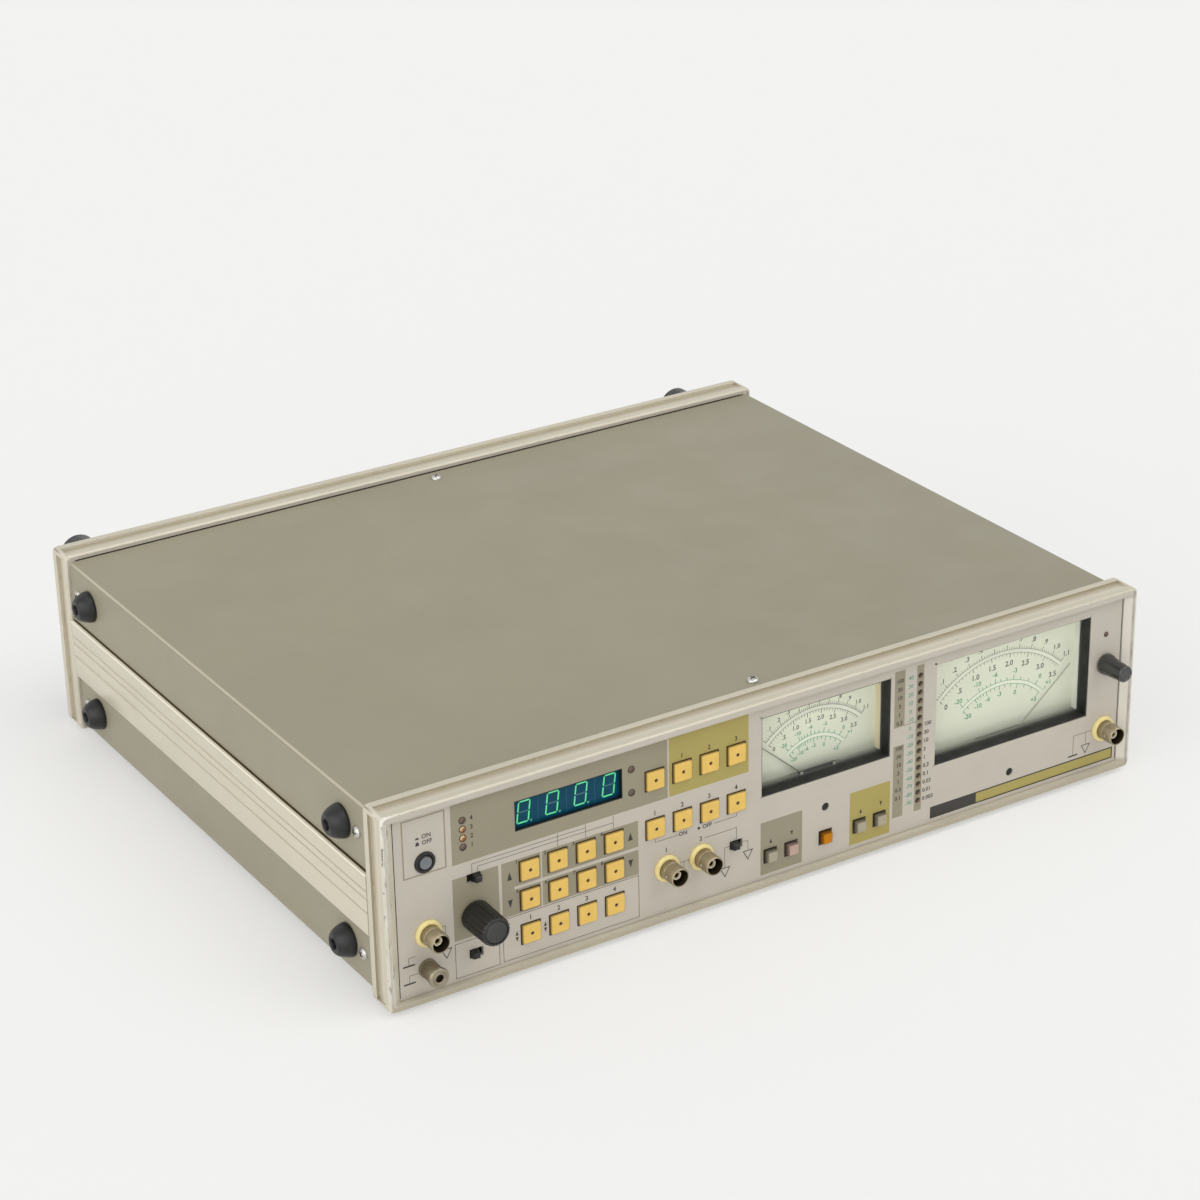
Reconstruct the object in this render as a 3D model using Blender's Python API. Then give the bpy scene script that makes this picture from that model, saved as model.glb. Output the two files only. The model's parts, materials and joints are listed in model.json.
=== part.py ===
"""Bench audio analyzer: two cast frames joined by side rails and covers, a keyed front panel with two
moving-coil meters, a four-digit display, sockets and knobs, and the boards and transformer inside.
Metres, +Z up, front towards -Y. Pieces are laid out from the front frame's left, front, bottom corner."""

import math

import bmesh
import bpy
from mathutils import Vector

# Seating gap between pieces that touch, and how far a cutter runs past the face it cuts
GAP = 0.0003
OVERCUT = 0.001

# Front panel columns, left to right
POWER_COLUMN = 0.0223
POWER_TO_TUNING = 0.0242
TUNING_TO_PRESETS = 0.0285
KEY_PITCH = 0.015
PRESETS_TO_FILTERS = 0.0225
FILTERS_TO_METER = 0.0137
LEVEL_WINDOW_WIDTH = 0.0755
METER_TO_LAMPS = 0.0174
LAMPS_TO_METER = 0.0086
RATIO_WINDOW_WIDTH = 0.0965
METER_TO_MONITOR = 0.0106
RIGHT_MARGIN = 0.0162

TUNING_COLUMN = POWER_COLUMN + POWER_TO_TUNING
PRESET_COLUMN = TUNING_COLUMN + TUNING_TO_PRESETS
FILTER_COLUMN = PRESET_COLUMN + 3 * KEY_PITCH + PRESETS_TO_FILTERS
LEVEL_WINDOW_LEFT = FILTER_COLUMN + 3 * KEY_PITCH + FILTERS_TO_METER
LAMP_COLUMN = LEVEL_WINDOW_LEFT + LEVEL_WINDOW_WIDTH + METER_TO_LAMPS
RATIO_WINDOW_LEFT = LAMP_COLUMN + LAMPS_TO_METER
MONITOR_COLUMN = RATIO_WINDOW_LEFT + RATIO_WINDOW_WIDTH + METER_TO_MONITOR
FRAME_WIDTH = MONITOR_COLUMN + RIGHT_MARGIN

# Front panel rows: the taller meter sets the frame's height
RATIO_WINDOW_SILL = 0.0343
RATIO_WINDOW_HEIGHT = 0.0555
WINDOW_HEADROOM = 0.0092
LEVEL_WINDOW_HEIGHT = 0.0424
FRAME_HEIGHT = RATIO_WINDOW_SILL + RATIO_WINDOW_HEIGHT + WINDOW_HEADROOM
LEVEL_WINDOW_SILL = FRAME_HEIGHT - WINDOW_HEADROOM - LEVEL_WINDOW_HEIGHT

# Rows measured up from the frame's underside
MODE_ROW = 0.0171
PRESET_ROW = 0.0348
RANGE_KEY_ROW = 0.0155
OUTPUT_ROW = 0.0339
GROUND_ROW = 0.0162
INPUT_ROW = 0.0270
MONITOR_ROW = 0.0247
TUNING_ROW = 0.0354
TUNING_SLIDE_ROW = 0.0543
AMPLITUDE_SLIDE_ROW = 0.0158
INPUT_SLIDE_ROW = 0.0273

# Rows measured down from the frame's top
MEASUREMENT_DROP = 0.0240
DISPLAY_DROP = 0.0209
POWER_DROP = 0.0293
REFERENCE_DROP = 0.0380
RANGE_LAMP_DROP = 0.0130
BAND_LAMP_DROP = 0.0145
UNIT_LAMP_DROP = 0.0153
WARNING_LAMP_DROP = 0.0222

# Places within a column
GROUND_OFFSET = -0.0010
INPUT_A_OFFSET = 0.0060
INPUT_PITCH = 0.0192
RANGE_KEY_PITCH = 0.0120
RANGE_PAIR_REACH = 0.0320
BAND_LAMP_OFFSET = -0.0047
UNIT_LAMP_OFFSET = 0.0101
REFERENCE_OFFSET = -0.0005

# Case
CASE_DEPTH = 0.354
FRAME_DEPTH = 0.017
FRAME_CORNER = 0.0025
FRAME_EDGE = 0.0008
LIP_HEIGHT = 0.0036
LIP_DEPTH = 0.0027
CHEEK_FRONT = 0.0022
CHEEK_BACK = 0.0064
REBATE = 0.0009
GROOVE_START = 0.0045
GROOVE_WIDTH = 0.0080
GROOVE_DEPTH = 0.0015
GROOVE_END = 0.0026
COVER_INSET = 0.0020
COVER_DROP = 0.0030
COVER_THICKNESS = 0.0012
COVER_BEND = 0.0020
RAIL_BOTTOM = 0.0326
RAIL_HEIGHT = 0.0310
RAIL_HEAD = 0.0035
RAIL_WEB = 0.0030
RAIL_WEB_REACH = 0.0060
RAIL_GROOVE = 0.0008
RAIL_GROOVE_HEIGHTS = (0.0114, 0.0184, 0.0224)

# Feet
SIDE_FOOT_RADIUS = 0.0082
SIDE_FOOT_TIP_RADIUS = 0.0060
SIDE_FOOT_ROUND = 0.0020
SIDE_FOOT_HEIGHT = 0.0080
SIDE_FOOT_BORE = 0.0026
SIDE_FOOT_BORE_DEPTH = 0.0045
SIDE_FOOT_FROM_END = 0.0405
SIDE_FOOT_FROM_EDGE = 0.0190
REAR_FOOT_RADIUS = 0.0100
REAR_FOOT_REACH = 0.0257
REAR_FOOT_FROM_SIDE = 0.0243
REAR_FOOT_FROM_EDGE = 0.0185
BOTTOM_FOOT_RADIUS = 0.0080
BOTTOM_FOOT_DROP = 0.0025
BOTTOM_FOOT_FROM_SIDE = 0.0300
BOTTOM_FOOT_FROM_END = 0.0450

# Panel and the board behind it
PANEL_THICKNESS = 0.0020
BOARD_STANDOFF = 0.0090
BOARD_THICKNESS = 0.0016
BOARD_MARGIN = 0.0055
POST_RADIUS = 0.0025
PANEL_FRONT = LIP_DEPTH + GAP
PANEL_BACK = PANEL_FRONT + PANEL_THICKNESS
BOARD_FRONT = PANEL_BACK + BOARD_STANDOFF

# Keys
KEY_SIZE = 0.0096
KEY_REACH = 0.0016
KEY_TRAVEL = 0.0012
KEY_CORNER = 0.0010
KEY_EDGE = 0.0005
KEY_LAMP_RADIUS = 0.0009
KEY_LAMP_DEPTH = 0.0008
SMALL_KEY_SIZE = 0.0065
SMALL_KEY_REACH = 0.0030
KEY_FLANGE = 0.0008
KEY_FLANGE_DEPTH = 0.0010
KEY_STEM = 0.0040
KEY_STEM_LENGTH = 0.0020
KEY_SWITCH_SIZE = 0.0060

# Lamps and display
LAMP_RADIUS = 0.0015
WARNING_LAMP_RADIUS = 0.0011
LAMP_REACH = 0.0005
RANGE_LAMP_PITCH = 0.0045
RANGE_LAMP_COUNT = 16
BAND_LAMP_PITCH = 0.00447
BAND_LAMP_COUNT = 4
UNIT_LAMP_PITCH = 0.0119
DISPLAY_WIDTH = 0.0568
DISPLAY_HEIGHT = 0.0152
DISPLAY_OFFSET = -0.0007
DISPLAY_LAP = 0.0015
FILTER_THICKNESS = 0.0015
DIGIT_COUNT = 4
DIGIT_PITCH = 0.0150
DIGIT_SLOT = 0.0008

# Power button
BUTTON_RADIUS = 0.0035
BUTTON_REACH = 0.0016
BUTTON_TRAVEL = 0.0025
BUTTON_LENGTH = 0.0070
RING_WALL = 0.0012
RING_REACH = 0.0007

# Slide switches
SLIDE_WIDTH = 0.0042
SLIDE_HEIGHT = 0.0040
SLIDE_REACH = 0.0035
SLIDE_TAPER = 0.0005
SLIDE_TRAVEL = 0.0024
SLIDE_FLANGE = 0.0012

# Tuning knob on its encoder
TUNING_RADIUS = 0.0075
TUNING_LENGTH = 0.0190
TUNING_CLEARANCE = 0.0005
TUNING_EDGE = 0.0010
TUNING_FLUTES = 24
TUNING_FLUTE_DEPTH = 0.0003
TUNING_SHAFT_RADIUS = 0.0030
TUNING_DIMPLE = 0.0055
ENCODER_SIZE = 0.0140
ENCODER_DEPTH = 0.0060

# Reference knob on its pull shaft
REFERENCE_SKIRT_RADIUS = 0.0055
REFERENCE_SKIRT_LENGTH = 0.0035
REFERENCE_GRIP_RADIUS = 0.0049
REFERENCE_TIP_RADIUS = 0.0043
REFERENCE_LENGTH = 0.0156
REFERENCE_CLEARANCE = 0.0007
REFERENCE_SHAFT_RADIUS = 0.0016
REFERENCE_TIP_WALL = 0.0020
POTENTIOMETER_RADIUS = 0.0055
POTENTIOMETER_DEPTH = 0.0070

# Bayonet sockets and ground terminal
SOCKET_RADIUS = 0.0048
SOCKET_BORE = 0.00405
SOCKET_REACH = 0.0120
SOCKET_BORE_DEPTH = 0.0085
SOCKET_THREAD_RADIUS = 0.0046
SOCKET_NUT_RADIUS = 0.0065
SOCKET_NUT_DEPTH = 0.0020
SOCKET_TAIL = 0.0080
RING_RADIUS = 0.0065
RING_DEPTH = 0.0018
INSULATOR_RADIUS = 0.00235
INSULATOR_STEP = 0.0030
CONTACT_RADIUS = 0.0011
CONTACT_DEPTH = 0.0050
LUG_RADIUS = 0.0010
LUG_REACH = 0.0009
LUG_FROM_TIP = 0.0045
GROUND_RADIUS = 0.0044
GROUND_TIP_RADIUS = 0.0050
GROUND_TIP_LENGTH = 0.0022
GROUND_REACH = 0.0114
GROUND_BORE = 0.0020
GROUND_BORE_DEPTH = 0.0090

# Meters
DIAL_DEPTH = 0.0103
COLLAR_WALL = 0.0008
COLLAR_RECESS = 0.0002
WINDOW_RECESS = 0.0050
WINDOW_THICKNESS = 0.0014
METER_WALL = 0.0015
METER_BODY_DEPTH = 0.0350
METER_BODY_TAPER = 0.0030
LEVEL_PIVOT_DROP = 0.0061
RATIO_PIVOT_DROP = 0.0099
CASE_FOOT = 0.0130
POCKET_DROP = 0.0075
POCKET_WIDTH = 0.0300
POCKET_FRONT = 0.0079
HUMP_WIDTH = 0.0227
HUMP_RISE = 0.0016
HUMP_DEPTH = 0.0012
LEVEL_ADJUST_DROP = 0.0158
RATIO_ADJUST_DROP = 0.0171
ADJUST_RADIUS = 0.00215
NEEDLE_THICKNESS = 0.0004
NEEDLE_WIDTH = 0.0009
NEEDLE_TIP_WIDTH = 0.0004
NEEDLE_CLEARANCE = 0.0010
LEVEL_NEEDLE_LENGTH = 0.0430
RATIO_NEEDLE_LENGTH = 0.0570
LEVEL_NEEDLE_REST = math.radians(-49)
RATIO_NEEDLE_REST = math.radians(50)
HUB_RADIUS = 0.0022
TAIL_LENGTH = 0.0060
TAIL_WIDTH = 0.0030
ARBOR_RADIUS = 0.0008
ARBOR_LENGTH = 0.0060

# Rear panel and mains inlet
REAR_PANEL_THICKNESS = 0.0020
INLET_FROM_LEFT = 0.0700
INLET_ROW = 0.0450
INLET_FLANGE_WIDTH = 0.0500
INLET_FLANGE_HEIGHT = 0.0230
INLET_FLANGE_DEPTH = 0.0025
INLET_BODY_WIDTH = 0.0276
INLET_BODY_HEIGHT = 0.0202
INLET_BODY_DEPTH = 0.0190
INLET_SOCKET_WIDTH = 0.0246
INLET_SOCKET_HEIGHT = 0.0170
INLET_SOCKET_DEPTH = 0.0160
INLET_SOCKET_CORNER = 0.0045
PIN_WIDTH = 0.0020
PIN_HEIGHT = 0.0040
PIN_SPACING = 0.0070
PIN_STEP = 0.0040
PIN_RECESS = 0.0020

# Main board and transformer
MAIN_BOARD_HEIGHT = 0.0100
MAIN_BOARD_MARGIN = 0.0200
MAIN_BOARD_FRONT = 0.0600
MAIN_POST_RADIUS = 0.0030
CAPACITOR_RADIUS = 0.0110
CAPACITOR_HEIGHT = 0.0350
CAPACITOR_PITCH = 0.0280
TRANSFORMER_WIDTH = 0.0660
TRANSFORMER_DEPTH = 0.0560
TRANSFORMER_HEIGHT = 0.0580
TRANSFORMER_COIL = 0.0090
TRANSFORMER_WINDOW = 0.0150
TRANSFORMER_FROM_SIDE = 0.0260
TRANSFORMER_FROM_REAR = 0.0700

# Facets of round pieces
FINE = 16
COARSE = 12
LAMP_SIDES = 8


def srgb(red, green, blue):
    """A colour read as 0 to 255 display values, as linear values for a shader."""
    shares = [value / 255 for value in (red, green, blue)]
    return [s / 12.92 if s <= 0.04045 else ((s + 0.055) / 1.055) ** 2.4 for s in shares] + [1.0]


def finish(name, colour, roughness, metallic=0.0):
    material = bpy.data.materials.new(name)
    material.use_nodes = True
    shader = material.node_tree.nodes["Principled BSDF"]
    shader.inputs["Base Color"].default_value = colour
    shader.inputs["Roughness"].default_value = roughness
    shader.inputs["Metallic"].default_value = metallic
    return material


def rectangle(left, right, low, high, corner=0.0, steps=1):
    """Outline points of a rectangle, counter-clockwise, with corners rounded by `steps` chords each."""
    if corner <= 0.0:
        return [(right, low), (right, high), (left, high), (left, low)]
    centres = [(right - corner, low + corner), (right - corner, high - corner),
               (left + corner, high - corner), (left + corner, low + corner)]
    points = []
    for quarter, (u, v) in enumerate(centres):
        for step in range(steps + 1):
            angle = math.pi / 2 * (quarter - 1 + step / steps)
            points.append((u + corner * math.cos(angle), v + corner * math.sin(angle)))
    return points


def square(u, v, size, corner=0.0):
    return rectangle(u - size / 2, u + size / 2, v - size / 2, v + size / 2, corner)


def circle(u, v, radius, steps, phase=0.0):
    angles = [phase + 2 * math.pi * step / steps for step in range(steps)]
    return [(u + radius * math.cos(angle), v + radius * math.sin(angle)) for angle in angles]


def across_x(outline, x):
    return [Vector((x, u, v)) for u, v in outline]


def across_y(outline, y):
    return [Vector((u, y, v)) for u, v in outline]


def across_z(outline, z):
    return [Vector((u, v, z)) for u, v in outline]


def loft(shape, rings, closed=False):
    """Skin over rings of equal point counts, with flat ends, or joined end to start when closed."""
    loops = [[shape.verts.new(point) for point in ring] for ring in rings]
    pairs = list(zip(loops, loops[1:]))
    if closed:
        pairs.append((loops[-1], loops[0]))
    else:
        shape.faces.new(loops[0])
        shape.faces.new(loops[-1])
    for first, second in pairs:
        for i in range(len(first)):
            j = (i + 1) % len(first)
            shape.faces.new((first[i], first[j], second[j], second[i]))


def box(shape, low, high):
    outline = rectangle(low[0], high[0], low[2], high[2])
    loft(shape, [across_y(outline, low[1]), across_y(outline, high[1])])


def turned_y(shape, x, z, profile, steps, phase=0.0):
    """A solid of revolution along Y from (radius, y) points, ends capped flat."""
    loft(shape, [across_y(circle(x, z, radius, steps, phase), y) for radius, y in profile])


def new_object(name, shape, material, location):
    bmesh.ops.recalc_face_normals(shape, faces=shape.faces[:])
    mesh = bpy.data.meshes.new(name)
    shape.to_mesh(mesh)
    shape.free()
    mesh.shade_smooth()
    mesh.set_sharp_from_angle(angle=math.radians(30))
    mesh.materials.append(material)
    piece = bpy.data.objects.new(name, mesh)
    bpy.context.scene.collection.objects.link(piece)
    piece.parent = case
    piece.location = location
    return piece


def add_piece(name, shape, material, location=(0.0, 0.0, 0.0), turn=0.0):
    piece = new_object(name, shape, material, location)
    piece.rotation_euler[1] = turn
    return piece


def combine(piece, shape, operation):
    """Cut a hidden tool shape out of a piece, or join it on."""
    tool = new_object(f"{piece.name}_tool_{len(piece.modifiers)}", shape, piece.data.materials[0],
                      piece.location)
    tool.hide_render = True
    tool.display_type = "WIRE"
    modifier = piece.modifiers.new(operation.title(), "BOOLEAN")
    modifier.operation = operation
    modifier.solver = "EXACT"
    modifier.object = tool


def frame_outline(inset):
    return rectangle(inset, FRAME_WIDTH - inset, inset, FRAME_HEIGHT - inset, FRAME_CORNER, 3)


def frame_opening(side, edge):
    return rectangle(side, FRAME_WIDTH - side, edge, FRAME_HEIGHT - edge)


def build_frame(name, face, inward):
    """A cast frame with its show face at `face`; `inward` is +1 or -1 along Y."""
    def at(depth):
        return face + inward * depth

    shape = bmesh.new()
    loft(shape, [across_y(frame_outline(FRAME_EDGE), at(0.0)),
                 across_y(frame_outline(0.0), at(FRAME_EDGE)),
                 across_y(frame_outline(0.0), at(FRAME_DEPTH - FRAME_EDGE)),
                 across_y(frame_outline(FRAME_EDGE), at(FRAME_DEPTH))])
    frame = add_piece(name, shape, FRAME_PAINT)

    slope = (CHEEK_BACK - CHEEK_FRONT) / LIP_DEPTH
    opening = bmesh.new()
    loft(opening, [across_y(frame_opening(CHEEK_FRONT - slope * OVERCUT, LIP_HEIGHT), at(-OVERCUT)),
                   across_y(frame_opening(CHEEK_BACK, LIP_HEIGHT), at(LIP_DEPTH)),
                   across_y(frame_opening(CHEEK_BACK - REBATE, LIP_HEIGHT - REBATE), at(LIP_DEPTH)),
                   across_y(frame_opening(CHEEK_BACK - REBATE, LIP_HEIGHT - REBATE),
                            at(FRAME_DEPTH + OVERCUT))])
    combine(frame, opening, "DIFFERENCE")

    grooves = bmesh.new()
    near, far = sorted((at(GROOVE_START), at(GROOVE_START + GROOVE_WIDTH)))
    for low, high in ((-OVERCUT, GROOVE_DEPTH), (FRAME_HEIGHT - GROOVE_DEPTH, FRAME_HEIGHT + OVERCUT)):
        box(grooves, (GROOVE_END, near, low), (FRAME_WIDTH - GROOVE_END, far, high))
    for left, right in ((-OVERCUT, GROOVE_DEPTH), (FRAME_WIDTH - GROOVE_DEPTH, FRAME_WIDTH + OVERCUT)):
        box(grooves, (left, near, GROOVE_END), (right, far, FRAME_HEIGHT - GROOVE_END))
    combine(frame, grooves, "DIFFERENCE")


def folds(radius):
    """Bends of a folded sheet, left to right, as (x, rise) points about the fold centres."""
    centres = [(COVER_INSET + COVER_BEND, math.pi), (FRAME_WIDTH - COVER_INSET - COVER_BEND, math.pi / 2)]
    points = []
    for x, start in centres:
        angles = [start - math.pi / 4 * step for step in range(3)]
        points += [(x + radius * math.cos(angle), radius * math.sin(angle)) for angle in angles]
    return points


def cover_outline(edge, hem, up):
    """A folded sheet seen from the front: its flat at height `edge`, its flanges ending at `hem`."""
    left, right = COVER_INSET, FRAME_WIDTH - COVER_INSET
    fold = edge - up * COVER_BEND
    outside = [(x, fold + up * rise) for x, rise in folds(COVER_BEND)]
    inside = [(x, fold + up * rise) for x, rise in folds(COVER_BEND - COVER_THICKNESS)]
    return ([(left, hem)] + outside + [(right, hem), (right - COVER_THICKNESS, hem)]
            + inside[::-1] + [(left + COVER_THICKNESS, hem)])


def cover_shape(edge, hem, up):
    outline = cover_outline(edge, hem, up)
    shape = bmesh.new()
    loft(shape, [across_y(outline, FRAME_DEPTH + GAP),
                 across_y(outline, CASE_DEPTH - FRAME_DEPTH - GAP)])
    return shape


def build_covers():
    top = FRAME_HEIGHT - COVER_DROP
    add_piece("top_cover", cover_shape(top, RAIL_BOTTOM + RAIL_HEIGHT + GAP, 1), COVER_PAINT)
    bottom = add_piece("bottom_cover", cover_shape(COVER_DROP, RAIL_BOTTOM - GAP, -1), COVER_PAINT)
    feet = bmesh.new()
    rings = [(BOTTOM_FOOT_RADIUS, COVER_DROP + COVER_THICKNESS / 2), (BOTTOM_FOOT_RADIUS, 0.0),
             (BOTTOM_FOOT_RADIUS - BOTTOM_FOOT_DROP / 2, -BOTTOM_FOOT_DROP)]
    for x in (BOTTOM_FOOT_FROM_SIDE, FRAME_WIDTH - BOTTOM_FOOT_FROM_SIDE):
        for y in (BOTTOM_FOOT_FROM_END, CASE_DEPTH - BOTTOM_FOOT_FROM_END):
            loft(feet, [across_z(circle(x, y, radius, COARSE), z) for radius, z in rings])
    combine(bottom, feet, "UNION")


def build_rail(name, side):
    """A grooved rail with a web behind the cover flanges; side is the outer X, towards the middle."""
    inward = 1 if side == 0.0 else -1
    top = RAIL_BOTTOM + RAIL_HEIGHT
    head, back = RAIL_HEAD, RAIL_HEAD + RAIL_WEB
    profile = [(0.0, RAIL_BOTTOM)]
    for height in RAIL_GROOVE_HEIGHTS:
        middle = RAIL_BOTTOM + height
        profile += [(0.0, middle - RAIL_GROOVE / 2), (RAIL_GROOVE, middle), (0.0, middle + RAIL_GROOVE / 2)]
    profile += [(0.0, top), (head, top), (head, top + RAIL_WEB_REACH), (back, top + RAIL_WEB_REACH),
                (back, RAIL_BOTTOM - RAIL_WEB_REACH), (head, RAIL_BOTTOM - RAIL_WEB_REACH),
                (head, RAIL_BOTTOM)]
    outline = [(side + inward * u, v) for u, v in profile]
    shape = bmesh.new()
    loft(shape, [across_y(outline, FRAME_DEPTH + GAP),
                 across_y(outline, CASE_DEPTH - FRAME_DEPTH - GAP)])
    add_piece(name, shape, RAIL_METAL)


def build_side_feet():
    rings = [(SIDE_FOOT_RADIUS, 0.0)]
    for turn in (0.0, math.pi / 4, math.pi / 2):
        rings.append((SIDE_FOOT_TIP_RADIUS - SIDE_FOOT_ROUND * (1 - math.cos(turn)),
                      SIDE_FOOT_ROUND * (1 - math.sin(turn)) - SIDE_FOOT_HEIGHT))
    rings += [(SIDE_FOOT_BORE, -SIDE_FOOT_HEIGHT), (SIDE_FOOT_BORE, SIDE_FOOT_BORE_DEPTH - SIDE_FOOT_HEIGHT)]
    rows = {"lower": SIDE_FOOT_FROM_EDGE, "upper": FRAME_HEIGHT - SIDE_FOOT_FROM_EDGE}
    ends = {"front": SIDE_FOOT_FROM_END, "rear": CASE_DEPTH - SIDE_FOOT_FROM_END}
    for row, z in rows.items():
        for end, y in ends.items():
            shape = bmesh.new()
            loft(shape, [across_x(circle(0.0, 0.0, radius, FINE), x) for radius, x in rings])
            add_piece(f"side_foot_{row}_{end}", shape, RUBBER, (COVER_INSET - GAP, y, z))


def key_places():
    """Names and places of the square lamp keys."""
    presets = [PRESET_COLUMN + i * KEY_PITCH for i in range(4)]
    filters = [FILTER_COLUMN + i * KEY_PITCH for i in range(4)]
    top_row = FRAME_HEIGHT - MEASUREMENT_DROP
    places = [("display_key", filters[0], top_row)]
    places += [(f"measurement_key_{i}", filters[i], top_row) for i in (1, 2, 3)]
    for i in range(4):
        places += [(f"upper_preset_key_{i + 1}", presets[i], PRESET_ROW + KEY_PITCH),
                   (f"lower_preset_key_{i + 1}", presets[i], PRESET_ROW),
                   (f"mode_key_{i + 1}", presets[i], MODE_ROW),
                   (f"filter_key_{i + 1}", filters[i], PRESET_ROW + KEY_PITCH)]
    return places


def small_key_places():
    """Names, places and finishes of the small keys under the level meter."""
    middle = LEVEL_WINDOW_LEFT + LEVEL_WINDOW_WIDTH / 2
    left, right = middle - RANGE_PAIR_REACH, middle + RANGE_PAIR_REACH
    return [("input_range_up_key", left, GREY_KEY),
            ("input_range_down_key", left + RANGE_KEY_PITCH, PINK_KEY),
            ("ranging_key", middle, ORANGE_KEY),
            ("measurement_range_up_key", right - RANGE_KEY_PITCH, GREY_KEY),
            ("measurement_range_down_key", right, GREY_KEY)]


def slide_places():
    """Names and slot centres of the slide switches, and which end of the slot the lever rests at."""
    return [("tuning_slide", TUNING_COLUMN, TUNING_SLIDE_ROW, 1),
            ("amplitude_slide", TUNING_COLUMN, AMPLITUDE_SLIDE_ROW, -1),
            ("input_slide", FILTER_COLUMN + 3 * KEY_PITCH, INPUT_SLIDE_ROW, -1)]


def socket_places():
    input_a = FILTER_COLUMN + INPUT_A_OFFSET
    return [("output_socket", POWER_COLUMN, OUTPUT_ROW), ("input_a_socket", input_a, INPUT_ROW),
            ("input_b_socket", input_a + INPUT_PITCH, INPUT_ROW),
            ("monitor_socket", MONITOR_COLUMN, MONITOR_ROW)]


def lamp_column(x, top, pitch, count):
    return [(x, top - i * pitch, LAMP_RADIUS) for i in range(count)]


def lamp_places():
    """Place and radius of every indicator lamp."""
    unit_column = PRESET_COLUMN + 3 * KEY_PITCH + UNIT_LAMP_OFFSET
    ranges = lamp_column(LAMP_COLUMN, FRAME_HEIGHT - RANGE_LAMP_DROP, RANGE_LAMP_PITCH, RANGE_LAMP_COUNT)
    bands = lamp_column(TUNING_COLUMN + BAND_LAMP_OFFSET, FRAME_HEIGHT - BAND_LAMP_DROP,
                        BAND_LAMP_PITCH, BAND_LAMP_COUNT)
    units = lamp_column(unit_column, FRAME_HEIGHT - UNIT_LAMP_DROP, UNIT_LAMP_PITCH, 2)
    warning = (MONITOR_COLUMN + REFERENCE_OFFSET, FRAME_HEIGHT - WARNING_LAMP_DROP, WARNING_LAMP_RADIUS)
    return ranges + bands + units + [warning]


class Meter:
    """Places of one meter, from its window's left, sill, width and height."""

    def __init__(self, left, sill, width, height, pivot_drop, adjust_drop):
        self.left, self.right = left, left + width
        self.sill, self.top = sill, sill + height
        self.middle = left + width / 2
        self.pivot = sill - pivot_drop
        self.foot = self.pivot - CASE_FOOT
        self.adjust = sill - adjust_drop


def display_box(lap):
    middle = PRESET_COLUMN + 1.5 * KEY_PITCH + DISPLAY_OFFSET
    row = FRAME_HEIGHT - DISPLAY_DROP
    return rectangle(middle - DISPLAY_WIDTH / 2 - lap, middle + DISPLAY_WIDTH / 2 + lap,
                     row - DISPLAY_HEIGHT / 2 - lap, row + DISPLAY_HEIGHT / 2 + lap)


def post_places():
    """Board posts, in the free strips between the controls."""
    low, high = BOARD_MARGIN + 2 * POST_RADIUS, FRAME_HEIGHT - BOARD_MARGIN - 2 * POST_RADIUS
    between = FILTER_COLUMN - PRESETS_TO_FILTERS / 2
    lamps = (LEVEL_METER.right + LAMP_COLUMN) / 2
    return [(TUNING_COLUMN - POWER_TO_TUNING / 2, low), (TUNING_COLUMN - POWER_TO_TUNING / 2, high),
            (between, low), (between, high), (lamps, low), (lamps, high)]


def build_front_panel():
    side, edge = CHEEK_BACK - REBATE + GAP, LIP_HEIGHT - REBATE + GAP
    shape = bmesh.new()
    loft(shape, [across_y(frame_opening(side, edge), PANEL_FRONT),
                 across_y(frame_opening(side, edge), PANEL_BACK)])
    panel = add_piece("front_panel", shape, PANEL_PAINT)

    posts = bmesh.new()
    for x, z in post_places():
        turned_y(posts, x, z, [(POST_RADIUS, PANEL_BACK - PANEL_THICKNESS / 2),
                               (POST_RADIUS, BOARD_FRONT - GAP)], 6)
    combine(panel, posts, "UNION")

    outlines = [display_box(0.0)]
    outlines += [square(x, z, KEY_SIZE + 2 * GAP) for _, x, z in key_places()]
    outlines += [square(x, RANGE_KEY_ROW, SMALL_KEY_SIZE + 2 * GAP) for _, x, _ in small_key_places()]
    slot_half, slot_rise = (SLIDE_WIDTH + SLIDE_TRAVEL) / 2 + GAP, SLIDE_HEIGHT / 2 + GAP
    for _, x, z, _ in slide_places():
        outlines.append(rectangle(x - slot_half, x + slot_half, z - slot_rise, z + slot_rise))
    outlines += [circle(x, z, radius + GAP, LAMP_SIDES) for x, z, radius in lamp_places()]
    outlines += [circle(x, z, SOCKET_THREAD_RADIUS + GAP, FINE) for _, x, z in socket_places()]
    outlines.append(circle(POWER_COLUMN + GROUND_OFFSET, GROUND_ROW, GROUND_RADIUS + GAP, FINE))
    outlines.append(circle(POWER_COLUMN, FRAME_HEIGHT - POWER_DROP,
                           BUTTON_RADIUS + RING_WALL + 2 * GAP, FINE))
    outlines.append(circle(TUNING_COLUMN, TUNING_ROW, TUNING_SHAFT_RADIUS + GAP, COARSE))
    outlines.append(circle(MONITOR_COLUMN + REFERENCE_OFFSET, FRAME_HEIGHT - REFERENCE_DROP,
                           REFERENCE_SHAFT_RADIUS + GAP, COARSE))
    for meter in (LEVEL_METER, RATIO_METER):
        outlines.append(rectangle(meter.left, meter.right, meter.sill, meter.top))
        outlines.append(circle(meter.middle, meter.adjust, ADJUST_RADIUS, COARSE))
    holes = bmesh.new()
    for outline in outlines:
        loft(holes, [across_y(outline, PANEL_FRONT - OVERCUT), across_y(outline, PANEL_BACK + OVERCUT)])
    combine(panel, holes, "DIFFERENCE")


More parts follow.
